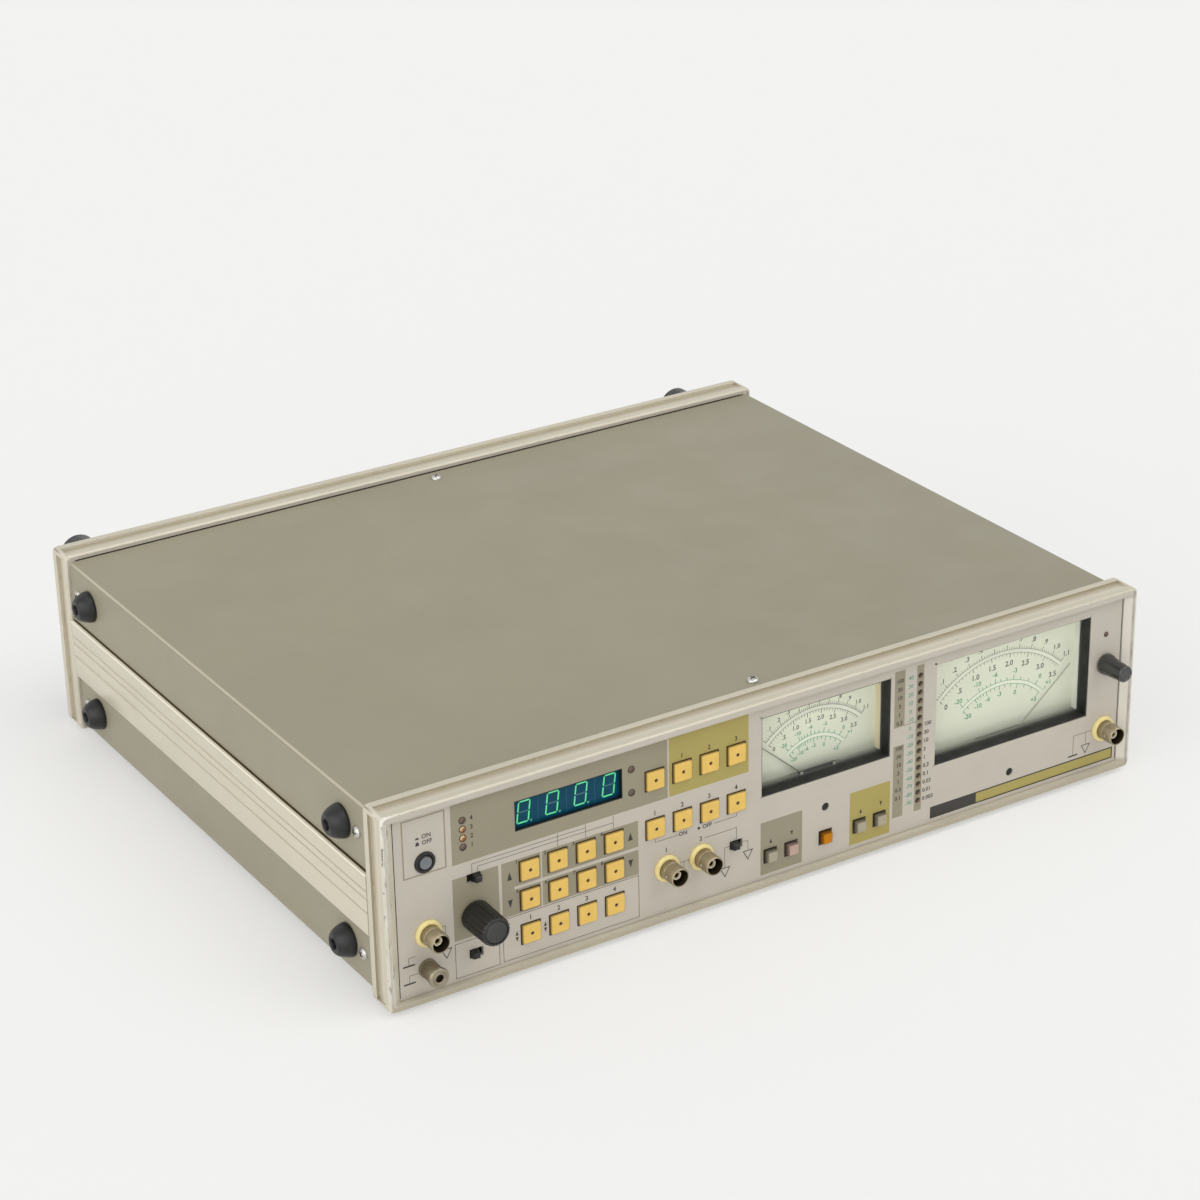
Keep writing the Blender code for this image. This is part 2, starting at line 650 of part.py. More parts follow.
def build_key(name, x, z, size, reach, lamp, material):
    """A cap with a retaining flange behind the panel and a stem towards its switch."""
    flange = size + 2 * (GAP + KEY_FLANGE)
    flange_front = PANEL_THICKNESS + GAP
    flange_back = flange_front + KEY_FLANGE_DEPTH
    edge = size - 2 * KEY_EDGE
    rings = [(KEY_STEM, flange_back + KEY_STEM_LENGTH), (KEY_STEM, flange_back), (flange, flange_back),
             (flange, flange_front), (size, flange_front), (size, KEY_EDGE - reach), (edge, -reach)]
    shape = bmesh.new()
    outlines = [across_y(square(0.0, 0.0, width, KEY_CORNER), y) for width, y in rings]
    if lamp:
        phase = math.radians(-67.5)
        outlines += [across_y(circle(0.0, 0.0, KEY_LAMP_RADIUS, 8, phase), y)
                     for y in (-reach, KEY_LAMP_DEPTH - reach)]
    loft(shape, outlines)
    add_piece(name, shape, material, (x, PANEL_FRONT, z))


def build_keys():
    for name, x, z in key_places():
        build_key(name, x, z, KEY_SIZE, KEY_REACH, True, YELLOW_KEY)
    for name, x, material in small_key_places():
        build_key(name, x, RANGE_KEY_ROW, SMALL_KEY_SIZE, SMALL_KEY_REACH, False, material)


def build_slides():
    """Tapered levers with a flange that slides behind the panel."""
    flange_front = PANEL_THICKNESS + GAP
    for name, x, z, end in slide_places():
        rings = [(SLIDE_FLANGE, flange_front + KEY_FLANGE_DEPTH), (SLIDE_FLANGE, flange_front),
                 (0.0, flange_front), (0.0, 0.0), (-SLIDE_TAPER, KEY_EDGE - SLIDE_REACH),
                 (-SLIDE_TAPER - KEY_EDGE, -SLIDE_REACH)]
        shape = bmesh.new()
        loft(shape, [across_y(rectangle(-SLIDE_WIDTH / 2 - grow, SLIDE_WIDTH / 2 + grow,
                                        -SLIDE_HEIGHT / 2 - grow, SLIDE_HEIGHT / 2 + grow), y)
                     for grow, y in rings])
        add_piece(name, shape, BLACK_PLASTIC, (x + end * SLIDE_TRAVEL / 2, PANEL_FRONT, z))


def build_power_button():
    edge = BUTTON_RADIUS - KEY_EDGE
    shape = bmesh.new()
    turned_y(shape, 0.0, 0.0, [(BUTTON_RADIUS, BUTTON_LENGTH - BUTTON_REACH),
                               (BUTTON_RADIUS, KEY_EDGE - BUTTON_REACH), (edge, -BUTTON_REACH)], FINE)
    add_piece("power_button", shape, BUTTON_GREY, (POWER_COLUMN, PANEL_FRONT, FRAME_HEIGHT - POWER_DROP))


def fluted(radius, depth):
    """A knob outline with rounded flutes: the radius follows a wave."""
    points = []
    for step in range(2 * TUNING_FLUTES):
        angle = math.pi * step / TUNING_FLUTES
        reach = radius - depth * (step % 2)
        points.append((reach * math.cos(angle), reach * math.sin(angle)))
    return points


def build_tuning_knob():
    back, front = -TUNING_CLEARANCE, -TUNING_CLEARANCE - TUNING_LENGTH
    shaft_end = PANEL_THICKNESS + BOARD_STANDOFF - ENCODER_DEPTH - GAP
    plain = circle(0.0, 0.0, TUNING_SHAFT_RADIUS, 2 * TUNING_FLUTES)
    shape = bmesh.new()
    loft(shape, [across_y(plain, shaft_end), across_y(plain, back),
                 across_y(fluted(TUNING_RADIUS, 0.0), back),
                 across_y(fluted(TUNING_RADIUS, TUNING_FLUTE_DEPTH), back - TUNING_EDGE),
                 across_y(fluted(TUNING_RADIUS, TUNING_FLUTE_DEPTH), front + TUNING_EDGE),
                 across_y(fluted(TUNING_RADIUS - TUNING_EDGE, 0.0), front),
                 across_y(circle(0.0, 0.0, TUNING_DIMPLE, 2 * TUNING_FLUTES), front + TUNING_FLUTE_DEPTH)])
    add_piece("tuning_knob", shape, BLACK_PLASTIC, (TUNING_COLUMN, PANEL_FRONT, TUNING_ROW))


def build_reference_control():
    """A skirted, tapered knob that turns on a shaft, and the shaft that pulls out of its potentiometer."""
    place = (MONITOR_COLUMN + REFERENCE_OFFSET, PANEL_FRONT, FRAME_HEIGHT - REFERENCE_DROP)
    back = -REFERENCE_CLEARANCE
    front = back - REFERENCE_LENGTH
    bore = REFERENCE_SHAFT_RADIUS + GAP
    floor = front + REFERENCE_TIP_WALL
    knob = bmesh.new()
    turned_y(knob, 0.0, 0.0, [(bore, floor), (bore, back), (REFERENCE_SKIRT_RADIUS, back),
                              (REFERENCE_SKIRT_RADIUS, back - REFERENCE_SKIRT_LENGTH),
                              (REFERENCE_GRIP_RADIUS, back - REFERENCE_SKIRT_LENGTH),
                              (REFERENCE_TIP_RADIUS, front + KEY_EDGE),
                              (REFERENCE_TIP_RADIUS - KEY_EDGE, front)], FINE)
    add_piece("reference_knob", knob, BLACK_PLASTIC, place)

    shaft = bmesh.new()
    turned_y(shaft, 0.0, 0.0, [(REFERENCE_SHAFT_RADIUS, floor + GAP),
                               (REFERENCE_SHAFT_RADIUS, PANEL_THICKNESS + BOARD_STANDOFF - GAP)], COARSE)
    add_piece("reference_shaft", shaft, NICKEL, place)


def build_sockets():
    """Bayonet sockets: thread, nut, insulating ring, shell with lugs, insulator and contact."""
    nut_front = PANEL_THICKNESS + GAP
    nut_back = nut_front + SOCKET_NUT_DEPTH
    floor = SOCKET_BORE_DEPTH - SOCKET_REACH
    insulator_tip = INSULATOR_STEP - SOCKET_REACH
    profile = [(SOCKET_THREAD_RADIUS, nut_back + SOCKET_TAIL), (SOCKET_THREAD_RADIUS, nut_back),
               (SOCKET_NUT_RADIUS, nut_back), (SOCKET_NUT_RADIUS, nut_front),
               (SOCKET_THREAD_RADIUS, nut_front), (SOCKET_THREAD_RADIUS, -GAP), (RING_RADIUS, -GAP),
               (RING_RADIUS, -GAP - RING_DEPTH), (SOCKET_RADIUS, -GAP - RING_DEPTH),
               (SOCKET_RADIUS, -SOCKET_REACH), (SOCKET_BORE, -SOCKET_REACH), (SOCKET_BORE, floor),
               (INSULATOR_RADIUS, floor), (INSULATOR_RADIUS, insulator_tip),
               (CONTACT_RADIUS, insulator_tip), (CONTACT_RADIUS, insulator_tip + CONTACT_DEPTH)]
    lug_root = (SOCKET_BORE + SOCKET_RADIUS) / 2
    lug_tip = SOCKET_RADIUS + LUG_REACH
    for name, x, z in socket_places():
        shape = bmesh.new()
        turned_y(shape, 0.0, 0.0, profile, FINE)
        socket = add_piece(name, shape, NICKEL, (x, PANEL_FRONT, z))
        lugs = bmesh.new()
        lug = circle(LUG_FROM_TIP - SOCKET_REACH, 0.0, LUG_RADIUS, LAMP_SIDES)
        for sign in (-1, 1):
            loft(lugs, [across_x(lug, sign * lug_root), across_x(lug, sign * lug_tip)])
        combine(socket, lugs, "UNION")


def build_ground_terminal():
    nut_front = PANEL_THICKNESS + GAP
    nut_back = nut_front + SOCKET_NUT_DEPTH
    tip_back = GROUND_TIP_LENGTH - GROUND_REACH
    profile = [(GROUND_BORE, nut_back + SOCKET_TAIL), (GROUND_BORE, nut_back),
               (SOCKET_NUT_RADIUS, nut_back), (SOCKET_NUT_RADIUS, nut_front),
               (GROUND_RADIUS, nut_front), (GROUND_RADIUS, tip_back),
               (GROUND_TIP_RADIUS, tip_back - KEY_EDGE), (GROUND_TIP_RADIUS, KEY_EDGE - GROUND_REACH),
               (GROUND_TIP_RADIUS - KEY_EDGE, -GROUND_REACH), (GROUND_BORE, -GROUND_REACH),
               (GROUND_BORE, GROUND_BORE_DEPTH - GROUND_REACH)]
    shape = bmesh.new()
    turned_y(shape, 0.0, 0.0, profile, FINE)
    add_piece("ground_terminal", shape, NICKEL, (POWER_COLUMN + GROUND_OFFSET, PANEL_FRONT, GROUND_ROW))


def meter_case_rings(meter, grow):
    """Outline of a meter's body behind the panel."""
    return rectangle(meter.left - METER_WALL - grow, meter.right + METER_WALL + grow,
                     meter.foot - grow, meter.top + METER_WALL + grow)


def build_meter(name, meter, hump, needle_length, rest):
    """Case with its collar in the panel, a clear window, and a pointer over the dial floor."""
    dial = PANEL_FRONT + DIAL_DEPTH
    body_front = PANEL_BACK + GAP
    shape = bmesh.new()
    loft(shape, [across_y(meter_case_rings(meter, 0.0), body_front),
                 across_y(meter_case_rings(meter, 0.0), dial + METER_WALL),
                 across_y(meter_case_rings(meter, -METER_BODY_TAPER), body_front + METER_BODY_DEPTH)])
    case_piece = add_piece(f"{name}_case", shape, BLACK_PLASTIC)

    def collar(inset):
        return rectangle(meter.left + inset, meter.right - inset, meter.sill + inset, meter.top - inset)

    collar_shape = bmesh.new()
    loft(collar_shape, [across_y(collar(GAP), PANEL_FRONT + COLLAR_RECESS),
                        across_y(collar(GAP), body_front + METER_WALL / 2)])
    combine(case_piece, collar_shape, "UNION")

    recess = bmesh.new()
    loft(recess, [across_y(collar(GAP + COLLAR_WALL), PANEL_FRONT - OVERCUT),
                  across_y(collar(GAP + COLLAR_WALL), dial)])
    combine(case_piece, recess, "DIFFERENCE")

    pocket = bmesh.new()
    half = POCKET_WIDTH / 2
    box(pocket, (meter.middle - half, PANEL_FRONT + POCKET_FRONT, meter.pivot - POCKET_DROP),
        (meter.middle + half, dial, meter.sill + 2 * COLLAR_WALL + 2 * GAP))
    combine(case_piece, pocket, "DIFFERENCE")

    bearing = bmesh.new()
    bore = ARBOR_RADIUS + GAP
    turned_y(bearing, meter.middle, meter.pivot,
             [(bore, dial - OVERCUT), (bore, dial + ARBOR_LENGTH + GAP)], LAMP_SIDES)
    combine(case_piece, bearing, "DIFFERENCE")

    if hump:
        cover = bmesh.new()
        sill = meter.sill + GAP + COLLAR_WALL
        front = PANEL_FRONT + POCKET_FRONT - HUMP_DEPTH
        foot, crest = HUMP_WIDTH / 2, HUMP_WIDTH / 2 - HUMP_RISE / 2
        outline = [(meter.middle - foot, sill - COLLAR_WALL), (meter.middle + foot, sill - COLLAR_WALL),
                   (meter.middle + crest, sill + HUMP_RISE), (meter.middle - crest, sill + HUMP_RISE)]
        loft(cover, [across_y(outline, front), across_y(outline, front + HUMP_DEPTH)])
        combine(case_piece, cover, "UNION")

    window = bmesh.new()
    inset = 2 * GAP + COLLAR_WALL
    glass_front = PANEL_FRONT + WINDOW_RECESS
    loft(window, [across_y(collar(inset), glass_front),
                  across_y(collar(inset), glass_front + WINDOW_THICKNESS)])
    add_piece(f"{name}_window", window, CLEAR)

    build_needle(f"{name}_needle", meter, dial, needle_length, rest)


def build_needle(name, meter, dial, length, rest):
    """A tapered pointer with a hub, a counterweight tail and an arbor in the case's bearing."""
    back = -NEEDLE_CLEARANCE
    front = back - NEEDLE_THICKNESS
    shape = bmesh.new()
    pointer = [(NEEDLE_WIDTH / 2, 0.0), (NEEDLE_TIP_WIDTH / 2, length), (-NEEDLE_TIP_WIDTH / 2, length),
               (-NEEDLE_WIDTH / 2, 0.0), (-TAIL_WIDTH / 2, -TAIL_LENGTH), (TAIL_WIDTH / 2, -TAIL_LENGTH)]
    loft(shape, [across_y(pointer, front), across_y(pointer, back)])
    needle = add_piece(name, shape, NEEDLE_PAINT, (meter.middle, dial, meter.pivot), rest)
    hub = bmesh.new()
    turned_y(hub, 0.0, 0.0, [(ARBOR_RADIUS, ARBOR_LENGTH), (ARBOR_RADIUS, -GAP), (HUB_RADIUS, -GAP),
                             (HUB_RADIUS, front - GAP)], LAMP_SIDES)
    combine(needle, hub, "UNION")
    needle.modifiers[-1].object.rotation_euler[1] = rest


def build_display_window():
    shape = bmesh.new()
    front = PANEL_BACK + GAP
    loft(shape, [across_y(display_box(DISPLAY_LAP), front),
                 across_y(display_box(DISPLAY_LAP), front + FILTER_THICKNESS)])
    add_piece("display_window", shape, DISPLAY_FILTER)


def build_front_board():
    """Board with lamps, digits, key switches, slide switches, encoder, potentiometer and power switch."""
    back = BOARD_FRONT + BOARD_THICKNESS
    root = BOARD_FRONT + BOARD_THICKNESS / 2
    outline = frame_opening(BOARD_MARGIN + GAP, BOARD_MARGIN + GAP)
    shape = bmesh.new()
    loft(shape, [across_y(outline, BOARD_FRONT), across_y(outline, back)])
    board = add_piece("front_circuit_board", shape, BOARD_GREEN)

    cutouts = bmesh.new()
    for meter in (LEVEL_METER, RATIO_METER):
        box(cutouts, (meter.left - METER_WALL - GAP, BOARD_FRONT - OVERCUT, meter.foot - GAP),
            (meter.right + METER_WALL + GAP, back + OVERCUT, FRAME_HEIGHT))
    bodies = [(x, z) for _, x, z in socket_places()] + [(POWER_COLUMN + GROUND_OFFSET, GROUND_ROW)]
    for x, z in bodies:
        turned_y(cutouts, x, z, [(SOCKET_NUT_RADIUS + GAP, BOARD_FRONT - OVERCUT),
                                 (SOCKET_NUT_RADIUS + GAP, back + OVERCUT)], COARSE)
    combine(board, cutouts, "DIFFERENCE")

    parts = bmesh.new()
    lamp_tip = PANEL_FRONT - LAMP_REACH
    for x, z, radius in lamp_places():
        turned_y(parts, x, z, [(radius, root), (radius, PANEL_FRONT), (0.7 * radius, lamp_tip)], LAMP_SIDES)
    stem_end = PANEL_BACK + GAP + KEY_FLANGE_DEPTH + KEY_STEM_LENGTH
    switch_front = stem_end + KEY_TRAVEL + GAP
    places = [(x, z) for _, x, z in key_places()] + [(x, RANGE_KEY_ROW) for _, x, _ in small_key_places()]
    for x, z in places:
        outline = square(x, z, KEY_SWITCH_SIZE)
        loft(parts, [across_y(outline, root), across_y(outline, switch_front)])
    slide_front = PANEL_BACK + 2 * GAP + KEY_FLANGE_DEPTH
    for _, x, z, _ in slide_places():
        outline = rectangle(x - SLIDE_WIDTH - SLIDE_TRAVEL / 2, x + SLIDE_WIDTH + SLIDE_TRAVEL / 2,
                            z - SLIDE_HEIGHT / 2, z + SLIDE_HEIGHT / 2)
        loft(parts, [across_y(outline, root), across_y(outline, slide_front)])
    encoder = square(TUNING_COLUMN, TUNING_ROW, ENCODER_SIZE)
    loft(parts, [across_y(encoder, root), across_y(encoder, BOARD_FRONT - ENCODER_DEPTH)])
    build_display_digits(parts, root)
    add_power_switch(parts, root)
    add_potentiometer(parts, root)
    combine(board, parts, "UNION")


def build_display_digits(parts, root):
    """Digit blocks side by side behind the filter window."""
    middle = PRESET_COLUMN + 1.5 * KEY_PITCH + DISPLAY_OFFSET
    row = FRAME_HEIGHT - DISPLAY_DROP
    front = PANEL_BACK + 2 * GAP + FILTER_THICKNESS
    for i in range(DIGIT_COUNT):
        x = middle + (i - (DIGIT_COUNT - 1) / 2) * DIGIT_PITCH
        half = (DIGIT_PITCH - DIGIT_SLOT) / 2
        box(parts, (x - half, front, row - DISPLAY_HEIGHT / 2), (x + half, root, row + DISPLAY_HEIGHT / 2))


def add_power_switch(parts, root):
    """A ring round the power button, closed behind it by the switch body."""
    inner = BUTTON_RADIUS + GAP
    outer = inner + RING_WALL
    floor = PANEL_FRONT + BUTTON_LENGTH - BUTTON_REACH + BUTTON_TRAVEL + GAP
    rim = PANEL_FRONT - RING_REACH
    turned_y(parts, POWER_COLUMN, FRAME_HEIGHT - POWER_DROP,
             [(outer, root), (outer, rim), (inner, rim), (inner, floor)], FINE)


def add_potentiometer(parts, root):
    """A round body with a bore for the reference shaft."""
    front = BOARD_FRONT - POTENTIOMETER_DEPTH
    bore = REFERENCE_SHAFT_RADIUS + GAP
    turned_y(parts, MONITOR_COLUMN + REFERENCE_OFFSET, FRAME_HEIGHT - REFERENCE_DROP,
             [(POTENTIOMETER_RADIUS, root), (POTENTIOMETER_RADIUS, front),
              (bore, front), (bore, BOARD_FRONT)], COARSE)


def build_rear_panel():
    """A plain sheet in the rear frame with four standoff feet and the inlet's cut-out."""
    side, edge = CHEEK_BACK - REBATE + GAP, LIP_HEIGHT - REBATE + GAP
    outer = CASE_DEPTH - LIP_DEPTH - GAP
    inner = outer - REAR_PANEL_THICKNESS
    shape = bmesh.new()
    loft(shape, [across_y(frame_opening(side, edge), inner), across_y(frame_opening(side, edge), outer)])
    panel = add_piece("rear_panel", shape, COVER_PAINT)

    feet = bmesh.new()
    tip = CASE_DEPTH + REAR_FOOT_REACH
    for x in (REAR_FOOT_FROM_SIDE, FRAME_WIDTH - REAR_FOOT_FROM_SIDE):
        for z in (REAR_FOOT_FROM_EDGE, FRAME_HEIGHT - REAR_FOOT_FROM_EDGE):
            turned_y(feet, x, z, [(REAR_FOOT_RADIUS, outer - REAR_PANEL_THICKNESS / 2),
                                  (REAR_FOOT_RADIUS, tip - FRAME_CORNER),
                                  (REAR_FOOT_RADIUS - FRAME_CORNER / 2, tip)], FINE)
    combine(panel, feet, "UNION")

    hole = bmesh.new()
    outline = inlet_outline(INLET_BODY_WIDTH + 2 * GAP, INLET_BODY_HEIGHT + 2 * GAP)
    loft(hole, [across_y(outline, inner - OVERCUT), across_y(outline, outer + OVERCUT)])
    combine(panel, hole, "DIFFERENCE")


def inlet_outline(width, height, corner=0.0):
    return rectangle(INLET_FROM_LEFT - width / 2, INLET_FROM_LEFT + width / 2,
                     INLET_ROW - height / 2, INLET_ROW + height / 2, corner)


def build_mains_inlet():
    """A three-pin appliance inlet whose flange seats on the rear panel."""
    face = CASE_DEPTH - LIP_DEPTH
    flange = face + INLET_FLANGE_DEPTH
    floor = flange - INLET_SOCKET_DEPTH
    body = [across_y(inlet_outline(INLET_BODY_WIDTH, INLET_BODY_HEIGHT), face - INLET_BODY_DEPTH),
            across_y(inlet_outline(INLET_BODY_WIDTH, INLET_BODY_HEIGHT), face),
            across_y(inlet_outline(INLET_FLANGE_WIDTH, INLET_FLANGE_HEIGHT), face),
            across_y(inlet_outline(INLET_FLANGE_WIDTH, INLET_FLANGE_HEIGHT), flange)]
    shape = bmesh.new()
    loft(shape, body)
    inlet = add_piece("mains_inlet", shape, BLACK_PLASTIC)
    socket = bmesh.new()
    outline = inlet_outline(INLET_SOCKET_WIDTH, INLET_SOCKET_HEIGHT, INLET_SOCKET_CORNER)
    loft(socket, [across_y(outline, floor), across_y(outline, flange + OVERCUT)])
    combine(inlet, socket, "DIFFERENCE")
    pins = bmesh.new()
    for step, rise in ((-1, 0.0), (0, PIN_STEP), (1, 0.0)):
        x, z = INLET_FROM_LEFT + step * PIN_SPACING, INLET_ROW + rise - PIN_STEP / 2
        box(pins, (x - PIN_WIDTH / 2, floor - OVERCUT, z - PIN_HEIGHT / 2),
            (x + PIN_WIDTH / 2, flange - PIN_RECESS, z + PIN_HEIGHT / 2))
    combine(inlet, pins, "UNION")


def build_main_board():
    """Main circuit board on posts over the bottom cover, with two smoothing capacitors."""
    floor = COVER_DROP + COVER_THICKNESS + GAP
    low = floor + MAIN_BOARD_HEIGHT
    high = low + BOARD_THICKNESS
    left = TRANSFORMER_FROM_SIDE + TRANSFORMER_WIDTH + MAIN_BOARD_MARGIN
    right = FRAME_WIDTH - RAIL_HEAD - RAIL_WEB - MAIN_BOARD_MARGIN
    rear = CASE_DEPTH - FRAME_DEPTH - MAIN_BOARD_MARGIN
    shape = bmesh.new()
    box(shape, (left, MAIN_BOARD_FRONT, low), (right, rear, high))
    board = add_piece("main_circuit_board", shape, BOARD_GREEN)
    parts = bmesh.new()
    inset = 2 * MAIN_POST_RADIUS
    for x in (left + inset, right - inset):
        for y in (MAIN_BOARD_FRONT + inset, rear - inset):
            post = circle(x, y, MAIN_POST_RADIUS, 6)
            loft(parts, [across_z(post, floor), across_z(post, low + BOARD_THICKNESS / 2)])
    for step in (1, 2):
        can = circle(left + step * CAPACITOR_PITCH, rear - CAPACITOR_PITCH, CAPACITOR_RADIUS, COARSE)
        loft(parts, [across_z(can, low + BOARD_THICKNESS / 2), across_z(can, high + CAPACITOR_HEIGHT)])
    combine(board, parts, "UNION")


def build_transformer():
    """Laminated core with its winding bulging front and rear, standing on the bottom cover."""
    low = COVER_DROP + COVER_THICKNESS + GAP
    left = TRANSFORMER_FROM_SIDE
    right = left + TRANSFORMER_WIDTH
    rear = CASE_DEPTH - TRANSFORMER_FROM_REAR
    front = rear - TRANSFORMER_DEPTH
    core_front, core_rear = front + TRANSFORMER_COIL, rear - TRANSFORMER_COIL
    shape = bmesh.new()
    box(shape, (left, core_front, low), (right, core_rear, low + TRANSFORMER_HEIGHT))
    transformer = add_piece("power_transformer", shape, CORE_STEEL)
    coil = bmesh.new()
    outline = rectangle(left + TRANSFORMER_WINDOW, right - TRANSFORMER_WINDOW, low + TRANSFORMER_WINDOW,
                        low + TRANSFORMER_HEIGHT - TRANSFORMER_WINDOW, COVER_BEND)
    loft(coil, [across_y(outline, front), across_y(outline, rear)])
    combine(transformer, coil, "UNION")


def clear_scene():
    for item in list(bpy.data.objects):
        bpy.data.objects.remove(item, do_unlink=True)


clear_scene()

COVER_PAINT = finish("cover_paint", srgb(158, 152, 133), 0.55)
FRAME_PAINT = finish("frame_paint", srgb(205, 198, 178), 0.5)
RAIL_METAL = finish("rail_paint", srgb(210, 204, 186), 0.5)
PANEL_PAINT = finish("panel_paint", srgb(191, 182, 169), 0.5)
RUBBER = finish("foot_rubber", srgb(45, 45, 46), 0.75)
YELLOW_KEY = finish("yellow_key", srgb(236, 190, 98), 0.4)
GREY_KEY = finish("grey_key", srgb(176, 170, 156), 0.45)
PINK_KEY = finish("pink_key", srgb(214, 168, 164), 0.45)
ORANGE_KEY = finish("orange_key", srgb(218, 140, 24), 0.4)
BLACK_PLASTIC = finish("black_plastic", srgb(44, 45, 43), 0.45)
BUTTON_GREY = finish("button_grey", srgb(100, 102, 104), 0.45)
NICKEL = finish("nickel", srgb(150, 140, 118), 0.35, 0.9)
CLEAR = finish("clear_window", srgb(235, 238, 236), 0.1)
DISPLAY_FILTER = finish("display_filter", srgb(38, 72, 88), 0.15)
NEEDLE_PAINT = finish("needle_paint", srgb(60, 58, 52), 0.5)
BOARD_GREEN = finish("circuit_board", srgb(46, 92, 60), 0.5)
CORE_STEEL = finish("core_steel", srgb(120, 118, 114), 0.5, 0.6)

# The part's origin is under the middle of its box: from the side feet to the frame's right side, and
# from the tuning knob's front to the rear feet
side_reach = SIDE_FOOT_HEIGHT + GAP - COVER_INSET
front_reach = TUNING_LENGTH + TUNING_CLEARANCE - PANEL_FRONT
case = bpy.data.objects.new("case_frame", None)
bpy.context.scene.collection.objects.link(case)
case.location = ((side_reach - FRAME_WIDTH) / 2, (front_reach - CASE_DEPTH - REAR_FOOT_REACH) / 2,
                 BOTTOM_FOOT_DROP)

LEVEL_METER = Meter(LEVEL_WINDOW_LEFT, LEVEL_WINDOW_SILL, LEVEL_WINDOW_WIDTH, LEVEL_WINDOW_HEIGHT,
                    LEVEL_PIVOT_DROP, LEVEL_ADJUST_DROP)
RATIO_METER = Meter(RATIO_WINDOW_LEFT, RATIO_WINDOW_SILL, RATIO_WINDOW_WIDTH, RATIO_WINDOW_HEIGHT,
                    RATIO_PIVOT_DROP, RATIO_ADJUST_DROP)

build_frame("front_frame", 0.0, 1)
build_frame("rear_frame", CASE_DEPTH, -1)
build_covers()
build_rail("left_side_rail", 0.0)
build_rail("right_side_rail", FRAME_WIDTH)
build_side_feet()
build_front_panel()
build_keys()
build_slides()
build_power_button()
build_tuning_knob()
build_reference_control()
build_sockets()
build_ground_terminal()
build_meter("level_meter", LEVEL_METER, True, LEVEL_NEEDLE_LENGTH, LEVEL_NEEDLE_REST)
build_meter("ratio_meter", RATIO_METER, False, RATIO_NEEDLE_LENGTH, RATIO_NEEDLE_REST)
build_display_window()
build_front_board()
build_rear_panel()
build_mains_inlet()
build_main_board()
build_transformer()
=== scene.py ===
"""Looks of a bench audio analyzer: worn paint on its covers and castings, a printed panel, two meters,
a lit display, lamps, keys, sockets and knobs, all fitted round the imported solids.
Places on the panel are millimetres right of the front frame's left side and up from its foot."""

import json
import math
from functools import cache

import bmesh
import bpy
from bpy.props import FloatProperty, FloatVectorProperty, PointerProperty
from mathutils import Matrix, Vector

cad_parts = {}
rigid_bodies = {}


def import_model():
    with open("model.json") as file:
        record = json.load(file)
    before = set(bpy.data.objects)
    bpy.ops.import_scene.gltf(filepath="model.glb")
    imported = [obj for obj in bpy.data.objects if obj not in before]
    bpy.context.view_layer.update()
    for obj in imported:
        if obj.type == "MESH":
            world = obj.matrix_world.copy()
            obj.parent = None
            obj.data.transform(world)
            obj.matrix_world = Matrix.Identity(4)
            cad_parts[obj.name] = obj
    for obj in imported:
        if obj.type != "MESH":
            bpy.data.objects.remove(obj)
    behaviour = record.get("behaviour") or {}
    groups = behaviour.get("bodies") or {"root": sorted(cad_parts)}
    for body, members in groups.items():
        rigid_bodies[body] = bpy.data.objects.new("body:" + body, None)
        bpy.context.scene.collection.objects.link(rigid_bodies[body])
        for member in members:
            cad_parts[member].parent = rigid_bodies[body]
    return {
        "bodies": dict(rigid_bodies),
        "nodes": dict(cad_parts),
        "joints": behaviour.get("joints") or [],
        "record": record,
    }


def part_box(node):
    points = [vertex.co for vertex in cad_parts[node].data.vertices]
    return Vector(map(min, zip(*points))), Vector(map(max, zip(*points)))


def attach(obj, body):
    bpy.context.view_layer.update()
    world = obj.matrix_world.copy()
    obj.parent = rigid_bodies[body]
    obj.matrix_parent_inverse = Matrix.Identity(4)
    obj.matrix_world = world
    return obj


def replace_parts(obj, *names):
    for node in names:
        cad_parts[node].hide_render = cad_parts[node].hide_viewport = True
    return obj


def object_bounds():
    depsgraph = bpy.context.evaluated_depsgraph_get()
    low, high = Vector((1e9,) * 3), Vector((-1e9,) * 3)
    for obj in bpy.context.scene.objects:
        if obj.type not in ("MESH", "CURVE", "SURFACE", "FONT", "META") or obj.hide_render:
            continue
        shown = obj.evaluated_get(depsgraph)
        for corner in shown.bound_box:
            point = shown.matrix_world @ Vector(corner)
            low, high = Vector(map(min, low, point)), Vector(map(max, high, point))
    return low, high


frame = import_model()
CAD_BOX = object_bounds()

bl_info = {
    "name": "Bench Audio Analyzer",
    "version": (1, 0, 0),
    "blender": (4, 5, 0),
    "location": "View3D > Sidebar > Analyzer",
    "description": "Dresses the packed solids of a bench audio analyzer and sets its stage",
    "category": "Object",
}

MM = 0.001
CHASSIS = "chassis"
FRAME_LOW, FRAME_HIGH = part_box("front_frame")
REAR_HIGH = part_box("rear_frame")[1]
COVER_LOW, COVER_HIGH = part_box("top_cover")
PANEL_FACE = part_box("front_panel")[0].y
CASE_MIDDLE = (FRAME_LOW + REAR_HIGH) / 2

# The mains inlet's flange stands this far off the rear panel's face
INLET_FLANGE = 2.5 * MM
REAR_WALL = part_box("mains_inlet")[1].y - INLET_FLANGE

# Top and pitch of the range lamps' column and of the band lamps' column, in millimetres
RANGE_TOP, RANGE_PITCH = 86.0, 4.5
BAND_TOP, BAND_PITCH = 84.5, 4.47

# The front frame's sloped cheeks start this far in from its sides, and reach this much further in
CHEEK = 2.2 * MM
CHEEK_REACH = 4.2 * MM

# Height of the front frame's lip above and below its opening
LIP = 3.6 * MM

